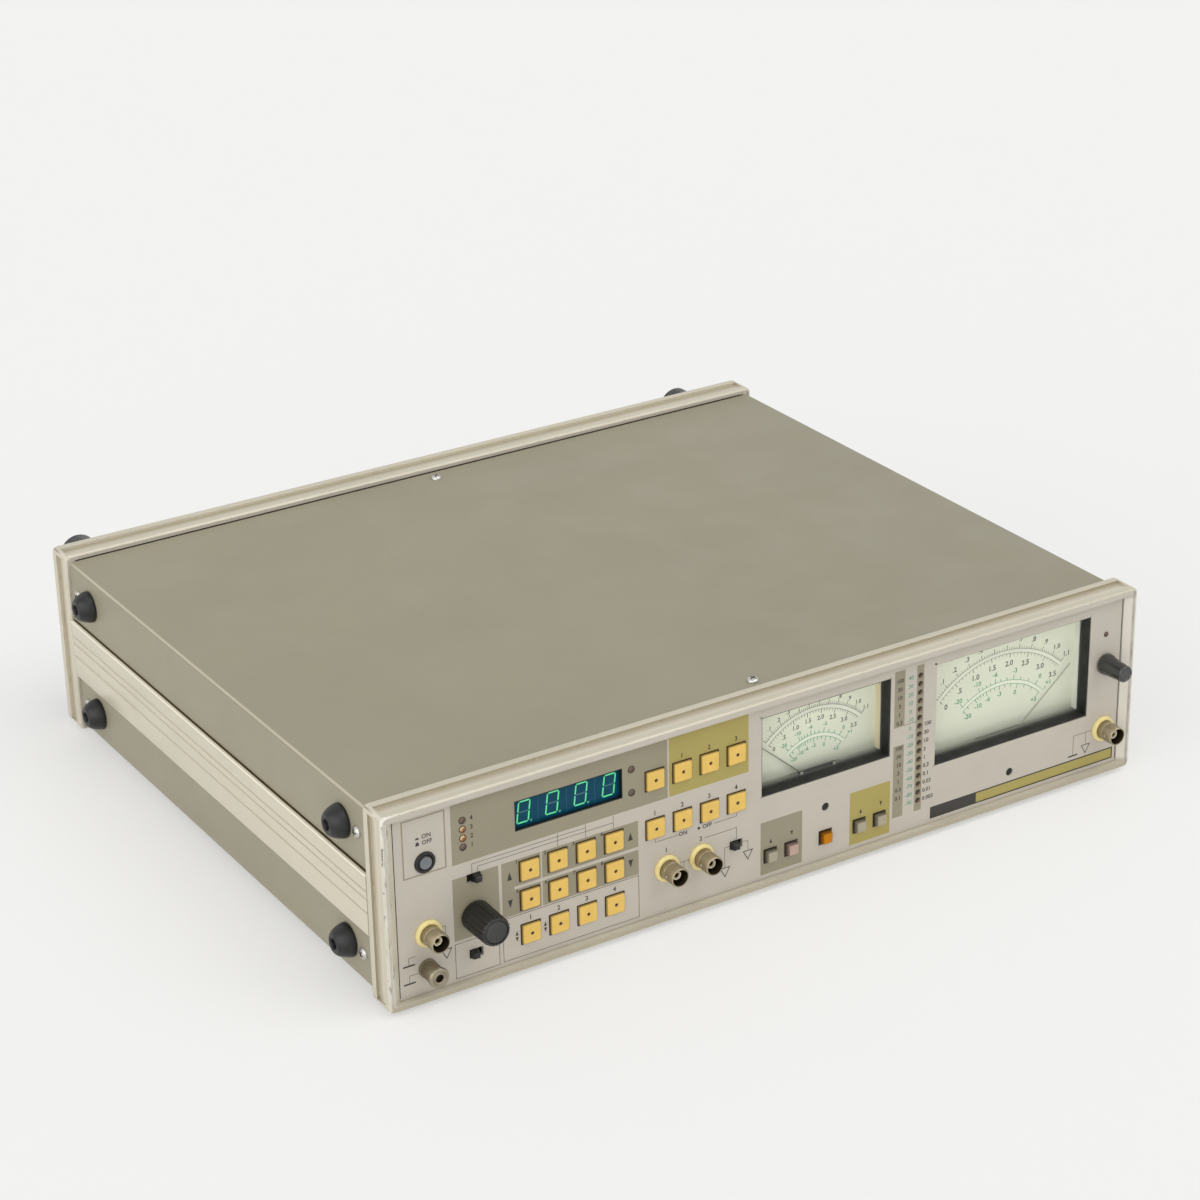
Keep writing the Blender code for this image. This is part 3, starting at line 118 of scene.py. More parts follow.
# How close two corners are joined, how flat a face is merged, and what counts as an edge to round
WELD = 0.00001
FLAT = math.radians(0.5)
ROUNDED_OVER = math.radians(30)
SMOOTH_UNDER = math.radians(38)
ROUND_STEPS = 48

# How far a face's normal reaches one way where the face looks straight that way, and where it only leans
STRAIGHT = 0.9
LEANING = 0.3

RAILS = ("left_side_rail", "right_side_rail")
SIDE_FEET = tuple(f"side_foot_{row}_{end}" for row in ("lower", "upper") for end in ("front", "rear"))
SOCKETS = ("output_socket", "input_a_socket", "input_b_socket", "monitor_socket")
SLIDES = ("tuning_slide", "amplitude_slide", "input_slide")
YELLOW_KEYS = (("display_key",) + tuple(f"measurement_key_{i}" for i in (1, 2, 3))
               + tuple(f"{row}_key_{i}" for row in ("upper_preset", "lower_preset", "mode", "filter")
                       for i in (1, 2, 3, 4)))
GREY_KEYS = ("input_range_up_key", "measurement_range_up_key", "measurement_range_down_key")


def srgb(red, green, blue):
    """A screen colour in steps of 0 to 255, as the linear colour that a shader takes."""
    levels = [step / 255 for step in (red, green, blue)]
    return tuple(v / 12.92 if v <= 0.04045 else ((v + 0.055) / 1.055) ** 2.4 for v in levels) + (1.0,)


def shaded(colour, share):
    """A colour made darker or lighter by a share of itself."""
    return tuple(min(1.0, level * share) for level in tuple(colour)[:3]) + (1.0,)


def tint(name, description, *steps):
    """A colour that the sidebar can change."""
    return FloatVectorProperty(name=name, description=description, subtype="COLOR", size=4, min=0.0,
                               max=1.0, default=srgb(*steps))


def length_value(name, description, millimetres):
    """A length that the sidebar can change."""
    return FloatProperty(name=name, description=description, subtype="DISTANCE", unit="LENGTH", precision=5,
                         default=millimetres * MM)


def plain_value(name, description, default):
    """A bare number that the sidebar can change."""
    return FloatProperty(name=name, description=description, default=default)


def angle_value(name, description, degrees):
    """An angle that the sidebar can change."""
    return FloatProperty(name=name, description=description, subtype="ANGLE", unit="ROTATION",
                         default=math.radians(degrees))


# Sizes and colours

class CaseLook(bpy.types.PropertyGroup):
    """Paint, rubber and edges of the case."""

    cover: tint("Covers", "Satin paint of the sheet covers", 153, 147, 126)
    # Painted highlight: a lighter colour along the covers' folds
    cover_rub: tint("Cover folds", "Painted highlight along the covers' folds", 192, 185, 163)
    casting: tint("Castings", "Paint of the front and rear frames", 205, 198, 179)
    # Rubbed paint and painted highlight along the castings' edges, also the lighter base colour of their
    # grooves
    casting_rub: tint("Casting edges", "Rubbed paint and painted highlight along the castings' edges", 218, 210, 194)
    # Painted shade in the castings' grooves
    groove: tint("Grooves", "Painted shade in the castings' grooves", 168, 158, 132)
    rail: tint("Rails", "Paint of the ribbed side rails", 210, 203, 184)
    rail_groove: tint("Rail grooves", "Darker colour in the rails' fine grooves", 197, 189, 168)
    # Painted highlight along the rails' heads
    rail_rub: tint("Rail heads", "Painted highlight along the rails' heads", 252, 246, 226)
    grime: tint("Grime", "Dirt rubbed into paint", 104, 96, 78)
    bare: tint("Bare metal", "Metal where the paint has worn through", 244, 243, 240)
    nick: tint("Nicks", "Dirt in the nicks of worn edges", 88, 78, 58)
    # Painted shade: the dark colour of the rails' seams and the screws' crosses
    seam: tint("Seams", "Painted shade in the rails' seams and the screws' crosses", 78, 66, 46)
    rubber: tint("Feet", "Moulded rubber of the feet", 19, 19, 20)
    steel: tint("Screws", "Plated screw heads", 196, 194, 188)
    casting_edge: length_value("Casting edge", "Rounding of the castings", 0.3)
    cover_edge: length_value("Cover edge", "Rounding of the folded covers", 0.7)
    rail_edge: length_value("Rail edge", "Rounding of the rails' ribs", 0.12)


class PanelLook(bpy.types.PropertyGroup):
    """Paint and print of the front panel."""

    face: tint("Panel", "Paint of the front panel", 189, 182, 170)
    foot: tint("Lip foot", "Darker paint along the foot of the front lip", 166, 156, 130)
    # Painted light: the right cheek's lighter colour
    cheek: tint("Right cheek", "Painted light on the front frame's right cheek", 213, 207, 196)
    khaki: tint("Khaki blocks", "Printed blocks round the keys", 145, 138, 116)
    olive: tint("Olive blocks", "Printed blocks of the measuring keys", 166, 152, 83)
    dark: tint("Dark ink", "Figures, arrows and outlines", 50, 46, 42)
    line: tint("Line ink", "Fine bracket lines", 100, 93, 84)
    brown: tint("Box ink", "Outline round the power button", 148, 138, 118)
    green: tint("Green ink", "Decibel figures", 92, 148, 122)
    ink: length_value("Ink", "Thickness of the printed marks", 0.03)


class ControlLook(bpy.types.PropertyGroup):
    """Colours of what a hand works or plugs in."""

    yellow: tint("Yellow keys", "Moulded key caps", 226, 187, 92)
    grey: tint("Grey keys", "Range keys", 164, 156, 133)
    pink: tint("Pink key", "Range key of the input", 182, 152, 140)
    orange: tint("Orange key", "Ranging key", 191, 120, 14)
    black: tint("Black plastic", "Knobs, slides and the button's collar", 19, 19, 18)
    cap: tint("Knob cap", "Reference knob and the tuning knob's front", 46, 47, 45)
    button: tint("Power button", "Face of the power button", 112, 116, 120)
    dot: tint("Key lamp", "Unlit lamp in a key cap", 70, 44, 22)
    well: tint("Key well", "Shaded edge of the hole round a key", 38, 27, 11)
    nickel: tint("Nickel", "Plated sockets and terminal", 168, 156, 130)
    ring: tint("Socket ring", "Insulating ring of a socket", 236, 219, 152)
    cream: tint("Insulator", "Insulator inside a socket", 238, 226, 196)
    brass: tint("Contact", "Middle contact of a socket", 92, 70, 42)
    bore: tint("Socket bore", "Tarnished inside of a socket", 62, 54, 40)
    silver: tint("Terminal face", "Polished front of the terminal", 156, 147, 128)
    terminal: tint("Terminal", "Turned post of the terminal", 138, 128, 106)
    key_edge: length_value("Key edge", "Rounding of a key cap", 0.2)


class MeterLook(bpy.types.PropertyGroup):
    """Dials of the two meters."""

    dial: tint("Dial", "Printed dial card", 226, 230, 208)
    band: tint("Band", "Pale band between two scales", 235, 238, 219)
    ink: tint("Dial ink", "Figures and ticks", 84, 84, 77)
    green: tint("Green ink", "Decibel scales", 60, 150, 110)
    cream: tint("Level lining", "Side walls of the level meter", 230, 217, 178)
    white: tint("Ratio lining", "Side walls of the ratio meter", 226, 228, 214)
    needle: tint("Level needle", "Painted pointer of the level meter", 86, 84, 74)
    fine_needle: tint("Ratio needle", "Painted pointer of the ratio meter", 162, 164, 150)
    collar: tint("Collar", "Black case of a meter", 19, 19, 18)
    shade: tint("Dial foot", "Shade that gathers at the foot of a dial", 34, 34, 30)
    half_sweep: angle_value("Half sweep", "Angle from a scale's middle to its end", 44.6)


class LampLook(bpy.types.PropertyGroup):
    """Lit and unlit lamps and digits."""

    filter: tint("Filter", "Dark filter in front of the digits", 2, 68, 92)
    digit: tint("Digit", "Lit segment", 92, 226, 150)
    resting: tint("Resting segment", "Segment that isn't lit", 50, 98, 108)
    point: tint("Points", "Decimal points of the digits", 84, 158, 132)
    unlit: tint("Unlit lamp", "Lamp that is off", 90, 68, 58)
    unlit_glint: tint("Unlit lamp's glint", "Side of a dark lamp that catches light", 112, 94, 82)
    unlit_shade: tint("Unlit lamp's shade", "Side of a dark lamp that lies in shade", 60, 45, 37)
    sunk: tint("Sunk lamp", "Lamp that lies deep in its hole", 60, 44, 32)
    sunk_glint: tint("Sunk lamp's glint", "Side of a sunk lamp that catches light", 126, 97, 78)
    sunk_shade: tint("Sunk lamp's shade", "Side of a sunk lamp under its hole's edge", 43, 32, 23)
    lit: tint("Lit lamp", "Lamp that is on", 206, 138, 72)
    lit_glint: tint("Lit lamp's glint", "Side of a lit lamp that catches light", 250, 222, 168)
    lit_shade: tint("Lit lamp's shade", "Side of a lit lamp that lies in shade", 140, 88, 46)
    rim: tint("Lamp rim", "Shaded rim round a lamp", 58, 44, 36)
    digit_height: length_value("Digit height", "Height of a digit", 11.3)
    digit_width: length_value("Digit width", "Width of a digit", 5.9)
    stroke: length_value("Stroke", "Width of a segment", 0.7)
    slant: angle_value("Slant", "Lean of the digits", 7.0)


class StageLook(bpy.types.PropertyGroup):
    """Floor, light and camera."""

    floor: tint("Floor", "Pale floor", 253, 253, 252)
    backdrop: tint("Backdrop", "What surrounds the floor", 240, 240, 239)
    sky: plain_value("Sky", "Strength of the even light", 0.52)
    key: plain_value("Key light", "Strength of the lamp above", 0.9)
    key_spread: angle_value("Key spread", "How wide the lamp above is, as seen from the object", 50.0)
    side: plain_value("Side light", "Strength of the lamp on the left", 1.74)
    side_spread: angle_value("Side spread", "How wide the lamp on the left is, as seen from the object", 90.0)
    shine: plain_value("Floor shine", "Share of the floor that the camera sees without shadow", 0.5)
    lens: plain_value("Lens", "Focal length in millimetres", 95.74)
    distance: length_value("Distance", "From the camera to the point it looks at", 1625.2)
    azimuth: angle_value("Azimuth", "How far the camera stands to the left", 31.6785)
    elevation: angle_value("Elevation", "How far the camera stands above", 24.6797)
    roll: angle_value("Roll", "Lean of the camera", -1.1516)


LOOKS = {"case": CaseLook, "panel": PanelLook, "control": ControlLook, "meter": MeterLook,
         "lamp": LampLook, "stage": StageLook}


def look(group):
    """The scene's values of one group."""
    return getattr(bpy.context.scene, f"analyzer_{group}")


# Finishes

class Finish:
    """A Principled material built up from grain, layers of colour and relief."""

    def __init__(self, name, colour, roughness, metallic=0.0):
        self.material = bpy.data.materials.new(name)
        self.material.use_nodes = True
        self.tree = self.material.node_tree
        self.surface = self.tree.nodes["Principled BSDF"]
        self.colour = tuple(colour)
        self.surface.inputs["Roughness"].default_value = roughness
        self.surface.inputs["Metallic"].default_value = metallic

    def node(self, kind, inputs, **settings):
        """A new node with its sockets linked or set."""
        made = self.tree.nodes.new(f"ShaderNode{kind}")
        for name, value in settings.items():
            setattr(made, name, value)
        for socket, value in inputs.items():
            if isinstance(value, bpy.types.NodeSocket):
                self.tree.links.new(value, made.inputs[socket])
            else:
                made.inputs[socket].default_value = value
        return made

    def place(self, axis):
        """Where a point lies along an axis, in metres."""
        place = self.node("TexCoord", {}).outputs["Object"]
        return self.node("SeparateXYZ", {"Vector": place}).outputs[axis]

    def grain(self, size, detail=2.0, stretch=(1.0, 1.0, 1.0)):
        """Noise of that grain size in metres, from 0 to 1, drawn out along an axis where stretch is small."""
        place = self.node("TexCoord", {}).outputs["Object"]
        placed = self.node("Mapping", {"Vector": place, "Scale": stretch}).outputs[0]
        return self.node("TexNoise", {"Vector": placed, "Scale": 1.0 / size, "Detail": detail}).outputs[0]

    def ramp(self, value, low, high, most=1.0, least=0.0):
        """A value's stretch from low to high, spread from least to most."""
        return self.node("MapRange", {"Value": value, "From Min": low, "From Max": high, "To Min": least,
                                      "To Max": most}).outputs[0]

    def both(self, one, other):
        """Where two amounts meet."""
        return self.node("Math", {0: one, 1: other}, operation="MULTIPLY").outputs[0]

    def chip(self, worn):
        """Paint rubbed through to metal and nicked where it is worn."""
        case = look("case")
        high = self.ramp(self.place("Z"), FRAME_HIGH.z - 22 * MM, FRAME_HIGH.z - 5 * MM, 0.8, 0.22)
        rub = self.ramp(self.grain(9 * MM, 3.0), 0.3, 0.7)
        self.layer(self.both(worn, self.both(high, rub)), case.bare)
        nicked = self.ramp(self.grain(1.8 * MM, 3.0, (1.0, 1.0, 0.3)), 0.59, 0.63, 0.8)
        self.layer(self.both(worn, nicked), case.nick)

    def layer(self, amount, colour):
        """Another colour laid over what is there."""
        self.colour = self.node("Mix", {0: amount, 6: self.colour, 7: tuple(colour)},
                                data_type="RGBA").outputs[2]

    def cloud(self, colour, low, high, most, *grain):
        """Another colour laid on where a grain runs from low to high. Gives the grain."""
        value = self.grain(*grain)
        self.layer(self.ramp(value, low, high, most), colour)
        return value

    def vary(self, socket, value, least, most):
        """A shader socket that follows a grain."""
        self.tree.links.new(self.ramp(value, 0.3, 0.7, most, least), self.surface.inputs[socket])

    def relief(self, height, depth):
        """Bumps of that depth in metres."""
        bump = self.node("Bump", {"Height": height, "Strength": 1.0, "Distance": depth})
        self.tree.links.new(bump.outputs[0], self.surface.inputs["Normal"])

    def done(self):
        """The finished material."""
        base = self.surface.inputs["Base Color"]
        if isinstance(self.colour, bpy.types.NodeSocket):
            self.tree.links.new(self.colour, base)
        else:
            base.default_value = self.colour
        return self.material


def painted(name, colour, roughness, grime, peel=0.012, metallic=0.0):
    """Satin paint with clouds of wear, dirty smears, rubbed streaks and a faint orange peel."""
    paint = Finish(name, colour, roughness, metallic)
    paint.cloud(shaded(colour, 0.92), 0.42, 0.72, 0.7, 90 * MM, 5.0)
    patch = paint.cloud(shaded(colour, 1.07), 0.58, 0.74, 0.4, 34 * MM, 6.0)
    paint.cloud(grime, 0.66, 0.8, 0.16, 7 * MM, 6.0)
    paint.cloud(shaded(colour, 1.12), 0.66, 0.8, 0.2, 2.5 * MM, 3.0, (1.0, 0.05, 1.0))
    paint.vary("Roughness", patch, roughness - 0.07, roughness + 0.08)
    paint.relief(paint.grain(0.6 * MM, 2.0), peel * MM)
    return paint


@cache
def cover_paint():
    case = look("case")
    return painted("Cover paint worn", case.cover, 0.52, case.grime, 0.02).done()


@cache
def casting_paint():
    case = look("case")
    paint = painted("Casting paint worn", case.casting, 0.4, case.grime, metallic=0.2)
    front = paint.ramp(paint.place("Y"), FRAME_LOW.y + 1.6 * MM, FRAME_LOW.y + 0.4 * MM)
    left = paint.ramp(paint.place("X"), FRAME_LOW.x + 14 * MM, FRAME_LOW.x + 2 * MM)
    paint.chip(paint.both(front, left))
    return paint.done()


@cache
def groove_paint(near, far):
    """Casting paint in the lighter edge colour, with painted shade that deepens from one depth to another."""
    case = look("case")
    # The lighter edge colour as the base paints light onto the groove's faces
    paint = painted("Groove paint shaded with grime", case.casting_rub, 0.46, case.grime, metallic=0.1)
    # Painted shade: the groove colour laid on from the near depth to the far one
    paint.layer(paint.ramp(paint.place("Y"), near, far), case.groove)
    return paint.done()


@cache
def rail_finish(head, near, far):
    """Scuffed paint of the rails, with a painted highlight along the head and painted shade on the ledge from
    near to far.
    """
    case = look("case")
    paint = painted("Rail paint scuffed, highlit and shaded", case.rail, 0.36, case.grime, metallic=0.2)
    # Painted highlight along the head
    paint.layer(paint.ramp(paint.place("Z"), head - 1.3 * MM, head - 0.7 * MM, 0.95), case.rail_rub)
    # Painted shade on the ledge at the cover's seam
    paint.layer(paint.ramp(paint.place("X"), near, far), case.seam)
    return paint.done()


@cache
def worn_edge(colour_name, bare_left=0.0, nicks=0.0):
    """Paint rubbed pale and painted with a highlight along an edge, darker at the front, through to metal in
    places and at the left end, and nicked.
    """
    case = look("case")
    edge = Finish(f"Worn edge {colour_name}", getattr(case, colour_name), 0.36)
    front = edge.ramp(edge.place("Y"), FRAME_LOW.y + 1.2 * MM, FRAME_LOW.y + 0.3 * MM, 0.9)
    edge.layer(front, shaded(case.casting, 0.76))
    rub = edge.cloud(case.bare, 0.5, 0.64, bare_left / 4, 9 * MM, 4.0)
    left = edge.ramp(edge.place("X"), FRAME_LOW.x + 10 * MM, FRAME_LOW.x + 1 * MM, bare_left)
    edge.layer(left, case.bare)
    nick = edge.cloud(case.grime, 0.58, 0.64, nicks, 2.6 * MM, 3.0, (1.0, 1.0, 0.35))
    edge.vary("Metallic", rub, 0.1, 0.45)
    edge.relief(nick, 0.04 * MM)
    return edge.done()


@cache
def panel_paint(name):
    """Flat paint or print of the panel, faintly grained and handled."""
    panel = look("panel")
    colour = getattr(panel, name)
    paint = Finish(f"Panel {name}", colour, 0.48)
    cloud = paint.cloud(shaded(colour, 0.93), 0.45, 0.75, 0.6, 26 * MM, 5.0)
    brush = paint.cloud(shaded(colour, 1.07), 0.5, 0.75, 0.35, 0.9 * MM, 3.0, (0.03, 1.0, 1.0))
    paint.vary("Roughness", cloud, 0.42, 0.56)
    paint.relief(brush, 0.008 * MM)
    return paint.done()


@cache
def lip_paint():
    """Paint of the frame's front lip, darker along its foot, with painted light on its right cheek and a dark
    line where that cheek starts.
    """
    panel = look("panel")
    paint = painted("Lip paint", panel.face, 0.46, look("case").grime)
    across, up, edge = paint.place("X"), paint.place("Z"), FRAME_HIGH.x - CHEEK
    # Darker towards the foot
    paint.layer(paint.ramp(up, FRAME_LOW.z + 7 * MM, FRAME_LOW.z + 2 * MM, 0.7), panel.foot)
    upright = paint.both(paint.ramp(up, FRAME_HIGH.z - LIP, FRAME_HIGH.z - LIP - 2 * MM),
                         paint.ramp(up, FRAME_LOW.z + LIP, FRAME_LOW.z + LIP + 2 * MM))
    # Painted light on the right cheek
    cheek = paint.ramp(across, edge - CHEEK_REACH - 0.6 * MM, edge - CHEEK_REACH)
    paint.layer(paint.both(cheek, upright), panel.cheek)
    # A dark line where the right cheek starts
    cheek_line = paint.both(paint.ramp(across, edge - 0.7 * MM, edge - 0.4 * MM),
                      paint.ramp(across, edge + 0.9 * MM, edge + 0.6 * MM))
    uneven = paint.ramp(paint.grain(5 * MM, 3.0), 0.35, 0.6, 0.95, 0.55)
    paint.layer(paint.both(cheek_line, uneven), shaded(look("case").casting, 0.5))
    paint.chip(paint.ramp(across, FRAME_LOW.x + 1.9 * MM, FRAME_LOW.x + 0.5 * MM))
    return paint.done()


@cache
def ink(group, name):
    """Printing ink, slightly uneven; it also lays the flat painted shade of seams and key wells."""
    colour = getattr(look(group), name)
    print_ink = Finish(f"Ink {group} {name}", colour, 0.5)
    coat = print_ink.cloud(shaded(colour, 1.3), 0.5, 0.72, 0.3, 0.8 * MM, 2.0)
    print_ink.vary("Roughness", coat, 0.42, 0.6)
    return print_ink.done()


@cache
def moulded(group, name, roughness=0.38, gloss=0.5, front=None, depth=0.12):
    """Moulded plastic with a fine sparked grain and handling marks. Where a front is given, its sides get
    painted shade from there down to the panel, to that share of its colour."""
    colour = getattr(look(group), name)
    plastic = Finish(f"Moulded {name}", colour, roughness)
    plastic.surface.inputs["Specular IOR Level"].default_value = gloss
    cloud = plastic.cloud(shaded(colour, 0.88), 0.45, 0.72, 0.5, 6 * MM, 4.0)
    # Painted shade down the sides of a key cap
    if front is not None:
        along = plastic.place("Y")
        side = plastic.ramp(along, front + 0.15 * MM, front + 0.4 * MM)
        deep = plastic.ramp(along, front, PANEL_FACE, 1.0, 0.4)
        plastic.layer(plastic.both(side, deep), shaded(colour, depth))
    plastic.vary("Roughness", cloud, roughness - 0.06, roughness + 0.1)
    plastic.relief(plastic.grain(0.25 * MM, 2.0), 0.012 * MM)
    return plastic.done()


@cache
def foot_rubber():
    """Dull moulded rubber with dust in its grain."""
    colour = look("case").rubber
    rubber = Finish("Foot rubber dusty", colour, 0.38)
    dust = rubber.cloud(srgb(84, 82, 80), 0.55, 0.75, 0.2, 3 * MM, 5.0)
    rubber.vary("Roughness", dust, 0.3, 0.5)
    rubber.relief(rubber.grain(0.4 * MM, 2.0), 0.03 * MM)
    return rubber.done()


@cache
def plated(group, name, roughness=0.3):
    """Plated metal, tarnished in clouds and finely turned."""
    colour = getattr(look(group), name)
    metal = Finish(f"Plated {name}", colour, roughness, 0.9)
    tarnish = metal.cloud(shaded(colour, 0.8), 0.45, 0.75, 0.6, 4 * MM, 4.0)
    metal.vary("Roughness", tarnish, roughness - 0.06, roughness + 0.14)
    metal.relief(metal.grain(0.2 * MM, 1.0, (1.0, 0.1, 1.0)), 0.006 * MM)
    return metal.done()


@cache
def clear_glass():
    """Meter window that lets light through and keeps a soft reflection, with a little dust."""
    glass = Finish("Meter window clear", srgb(236, 240, 232), 0.06)
    dust = glass.grain(5 * MM, 5.0)
    glass.vary("Roughness", dust, 0.04, 0.16)
    glass.surface.inputs["Alpha"].default_value = 0.035
    return glass.done()


@cache
def filter_plastic():
    """Dark filter in front of the digits, with faint swirls from cleaning."""
    colour = look("lamp").filter
    pane = Finish("Display filter dark", colour, 0.18)
    pane.surface.inputs["Specular IOR Level"].default_value = 0.15
    swirl = pane.cloud(shaded(colour, 0.8), 0.45, 0.75, 0.5, 4 * MM, 4.0)
    pane.vary("Roughness", swirl, 0.12, 0.26)
    return pane.done()


@cache
def glowing(name, strength):
    """A lit lamp or segment, a little brighter in places."""
    colour = getattr(look("lamp"), name)
    glow = Finish(f"Glowing {name}", shaded(colour, 0.5), 0.35)
    glow.cloud(colour, 0.45, 0.75, 0.5, 1.5 * MM, 2.0)
    glow.surface.inputs["Emission Color"].default_value = tuple(colour)
    glow.surface.inputs["Emission Strength"].default_value = strength
    return glow.done()


# How far up a dial each shade at its foot reaches in millimetres, and how deep it is
DIAL_SHADES = ((14.0, 0.15), (7.0, 0.42))

# How far down from a dial's head its painted glow reaches in millimetres, and how strong it is
DIAL_GLOW = (20.0, 0.2)


@cache
def dial_card(name, foot=None, head=None):
    """Printed card or painted lining of a meter, faintly yellowed, with painted shade towards its foot and a
    painted glow towards its head where it has one."""
    meter = look("meter")
    colour = getattr(meter, name)
    card = Finish(f"Meter {name}", colour, 0.6)
    age = card.cloud(shaded(colour, 0.93), 0.42, 0.75, 0.6, 30 * MM, 4.0)
    for reach, depth in DIAL_SHADES if foot is not None else ():
        card.layer(card.ramp(card.place("Z"), foot + reach * MM, foot, depth), meter.shade)
    if head is not None:
        # Painted glow: the card gives off light towards its head
        card.surface.inputs["Emission Color"].default_value = tuple(colour)
        glow = card.ramp(card.place("Z"), head - DIAL_GLOW[0] * MM, head, DIAL_GLOW[1])
        card.tree.links.new(glow, card.surface.inputs["Emission Strength"])
    card.relief(card.grain(0.3 * MM, 2.0), 0.006 * MM)
    card.vary("Roughness", age, 0.52, 0.68)
    return card.done()


@cache
def dial_floor(front, dial):
    """Floor of a meter's well, in deepening shade from the dial to the front."""
    meter = look("meter")
    floor = Finish("Meter floor", meter.dial, 0.7)
    floor.cloud(shaded(meter.dial, 0.93), 0.42, 0.75, 0.5, 12 * MM, 3.0)
    floor.layer(floor.ramp(floor.place("Y"), dial, front, 0.94, 0.56), meter.shade)
    return floor.done()


@cache
def board_laminate(front=None):
    """Green circuit board with tracks showing through its lacquer, and black parts in front of it."""
    colour = srgb(46, 92, 62)
    board = Finish("Board laminate", colour, 0.4)
    tracks = board.cloud(srgb(70, 122, 78), 0.5, 0.55, 0.6, 3 * MM, 1.0, (1.0, 0.15, 1.0))
    if front is not None:
        board.layer(board.ramp(board.place("Y"), front, front - 0.1 * MM), look("control").black)
    board.vary("Roughness", tracks, 0.32, 0.5)
    return board.done()


@cache
def transformer_steel():
    """Stacked and varnished core steel."""
    colour = srgb(96, 92, 88)
    steel = Finish("Transformer steel", colour, 0.45, 0.7)
    sheets = steel.cloud(srgb(54, 50, 46), 0.4, 0.6, 0.6, 0.6 * MM, 1.0, (0.02, 0.02, 1.0))
    steel.vary("Roughness", sheets, 0.36, 0.6)
    steel.relief(sheets, 0.05 * MM)
    return steel.done()


# Shapes

AXES = {"x": (Vector((1, 0, 0)), Vector((0, 1, 0)), Vector((0, 0, 1))),
        "y": (Vector((0, 1, 0)), Vector((1, 0, 0)), Vector((0, 0, 1))),
        "z": (Vector((0, 0, 1)), Vector((1, 0, 0)), Vector((0, 1, 0)))}


def middle(node):
    """Middle of a node's box."""
    low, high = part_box(node)
    return (low + high) / 2


def front_middle(node):
    """Middle of a node's front."""
    place = middle(node)
    place.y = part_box(node)[0].y
    return place


def panel_point(x, z):
    """A point x and z millimetres across and up the panel's face."""
    return Vector((FRAME_LOW.x + x * MM, PANEL_FACE, FRAME_LOW.z + z * MM))


def panel_place(node):
    """A node's middle in millimetres across and up the panel."""
    place = (middle(node) - FRAME_LOW) / MM
    return place.x, place.z


def body_of(node):
    """The body that carries a node."""
    return node if node in frame["bodies"] else CHASSIS


def linked(name, data):
    """A new object in the scene."""
    made = bpy.data.objects.new(name, data)
    bpy.context.scene.collection.objects.link(made)
    return made


def closed_mesh(name, shape):
    """A closed shape as a mesh, with its faces turned outwards."""
    bmesh.ops.recalc_face_normals(shape, faces=shape.faces)
    mesh = bpy.data.meshes.new(name)
    shape.to_mesh(mesh)
    shape.free()
    return mesh


def new_piece(name, shape, finishes, slot, body=CHASSIS, smooth=True):
    """A closed shape as a piece that rides on a body."""
    mesh = closed_mesh(name, shape)
    if smooth:
        mesh.shade_smooth()
        mesh.set_sharp_from_angle(angle=SMOOTH_UNDER)
    return place_piece(name, mesh, finishes, slot, body)


def place_piece(name, mesh, finishes, slot, body=CHASSIS, place=Matrix.Identity(4)):
    """A finished mesh as a piece that rides on a body."""
    if not mesh.materials:
        for material in finishes:
            mesh.materials.append(material)
    piece = linked(name, mesh)
    piece.matrix_world = place
    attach(piece, body)
    return piece


def dress(node, material):
    """A finish for a solid that stays as it is."""
    frame["nodes"][node].material_slots[0].material = material


def solid_copy(node):
    """A node's solid with its triangles merged into flat faces."""
    shape = bmesh.new()
    shape.from_mesh(frame["nodes"][node].data)
    bmesh.ops.remove_doubles(shape, verts=shape.verts, dist=WELD)
    bmesh.ops.dissolve_limit(shape, angle_limit=FLAT, verts=shape.verts, edges=shape.edges)
    return shape


def softened(node, name, width, finishes, slot, finish=None):
    """A node's solid with rounded edges: the first of its finishes or the one picked for a face, and the
    last on the rounding."""
    shape = solid_copy(node)
    shape.normal_update()
    for face in shape.faces:
        face.material_index = finish(face) if finish else 0
    piece = new_piece(name, shape, finishes, slot, body_of(node))
    edges = piece.modifiers.new("Rounded edges", "BEVEL")
    edges.width = width
    edges.segments = 2
    edges.limit_method = "ANGLE"
    edges.angle_limit = ROUNDED_OVER
    edges.material = len(finishes) - 1
    edges.harden_normals = True
    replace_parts(piece, node)
    return piece


def loft(shape, rings, closed=False):
    """A skin over rings of points, closed on itself or with capped ends. One point alone is a tip."""
    rows = [[shape.verts.new(point) for point in ring] for ring in rings]
    for near, far in zip(rows, rows[1:] + rows[:1] if closed else rows[1:]):
        count = max(len(near), len(far))
        for i in range(count):
            j = (i + 1) % count
            corners = [near[i % len(near)], near[j % len(near)], far[j % len(far)], far[i % len(far)]]
            shape.faces.new(dict.fromkeys(corners))
    for row in () if closed else (rows[0], rows[-1]):
        if len(row) > 2:
            shape.faces.new(row)


def turned(shape, place, axis, profile, steps=ROUND_STEPS, flutes=0, depth=0.0):
    """A profile of (radius, distance along the axis) turned about a point, both in millimetres. A profile
    that ends where it starts makes a ring. With flutes, a radius with a third value is scalloped."""
    along, across, up = AXES[axis]
    rings = []
    for radius, distance, *fluted in profile:
        centre = Vector(place) + along * distance * MM
        if radius == 0:
            rings.append([centre])
            continue
        ring = []
        for i in range(steps):
            turn = math.tau * i / steps
            cut = depth * abs(math.sin(turn * flutes / 2)) if any(fluted) else 0.0
            ring.append(centre + (across * math.cos(turn) + up * math.sin(turn)) * (radius - cut) * MM)
        rings.append(ring)
    closed = profile[0] == profile[-1]
    loft(shape, rings[:-1] if closed else rings, closed)


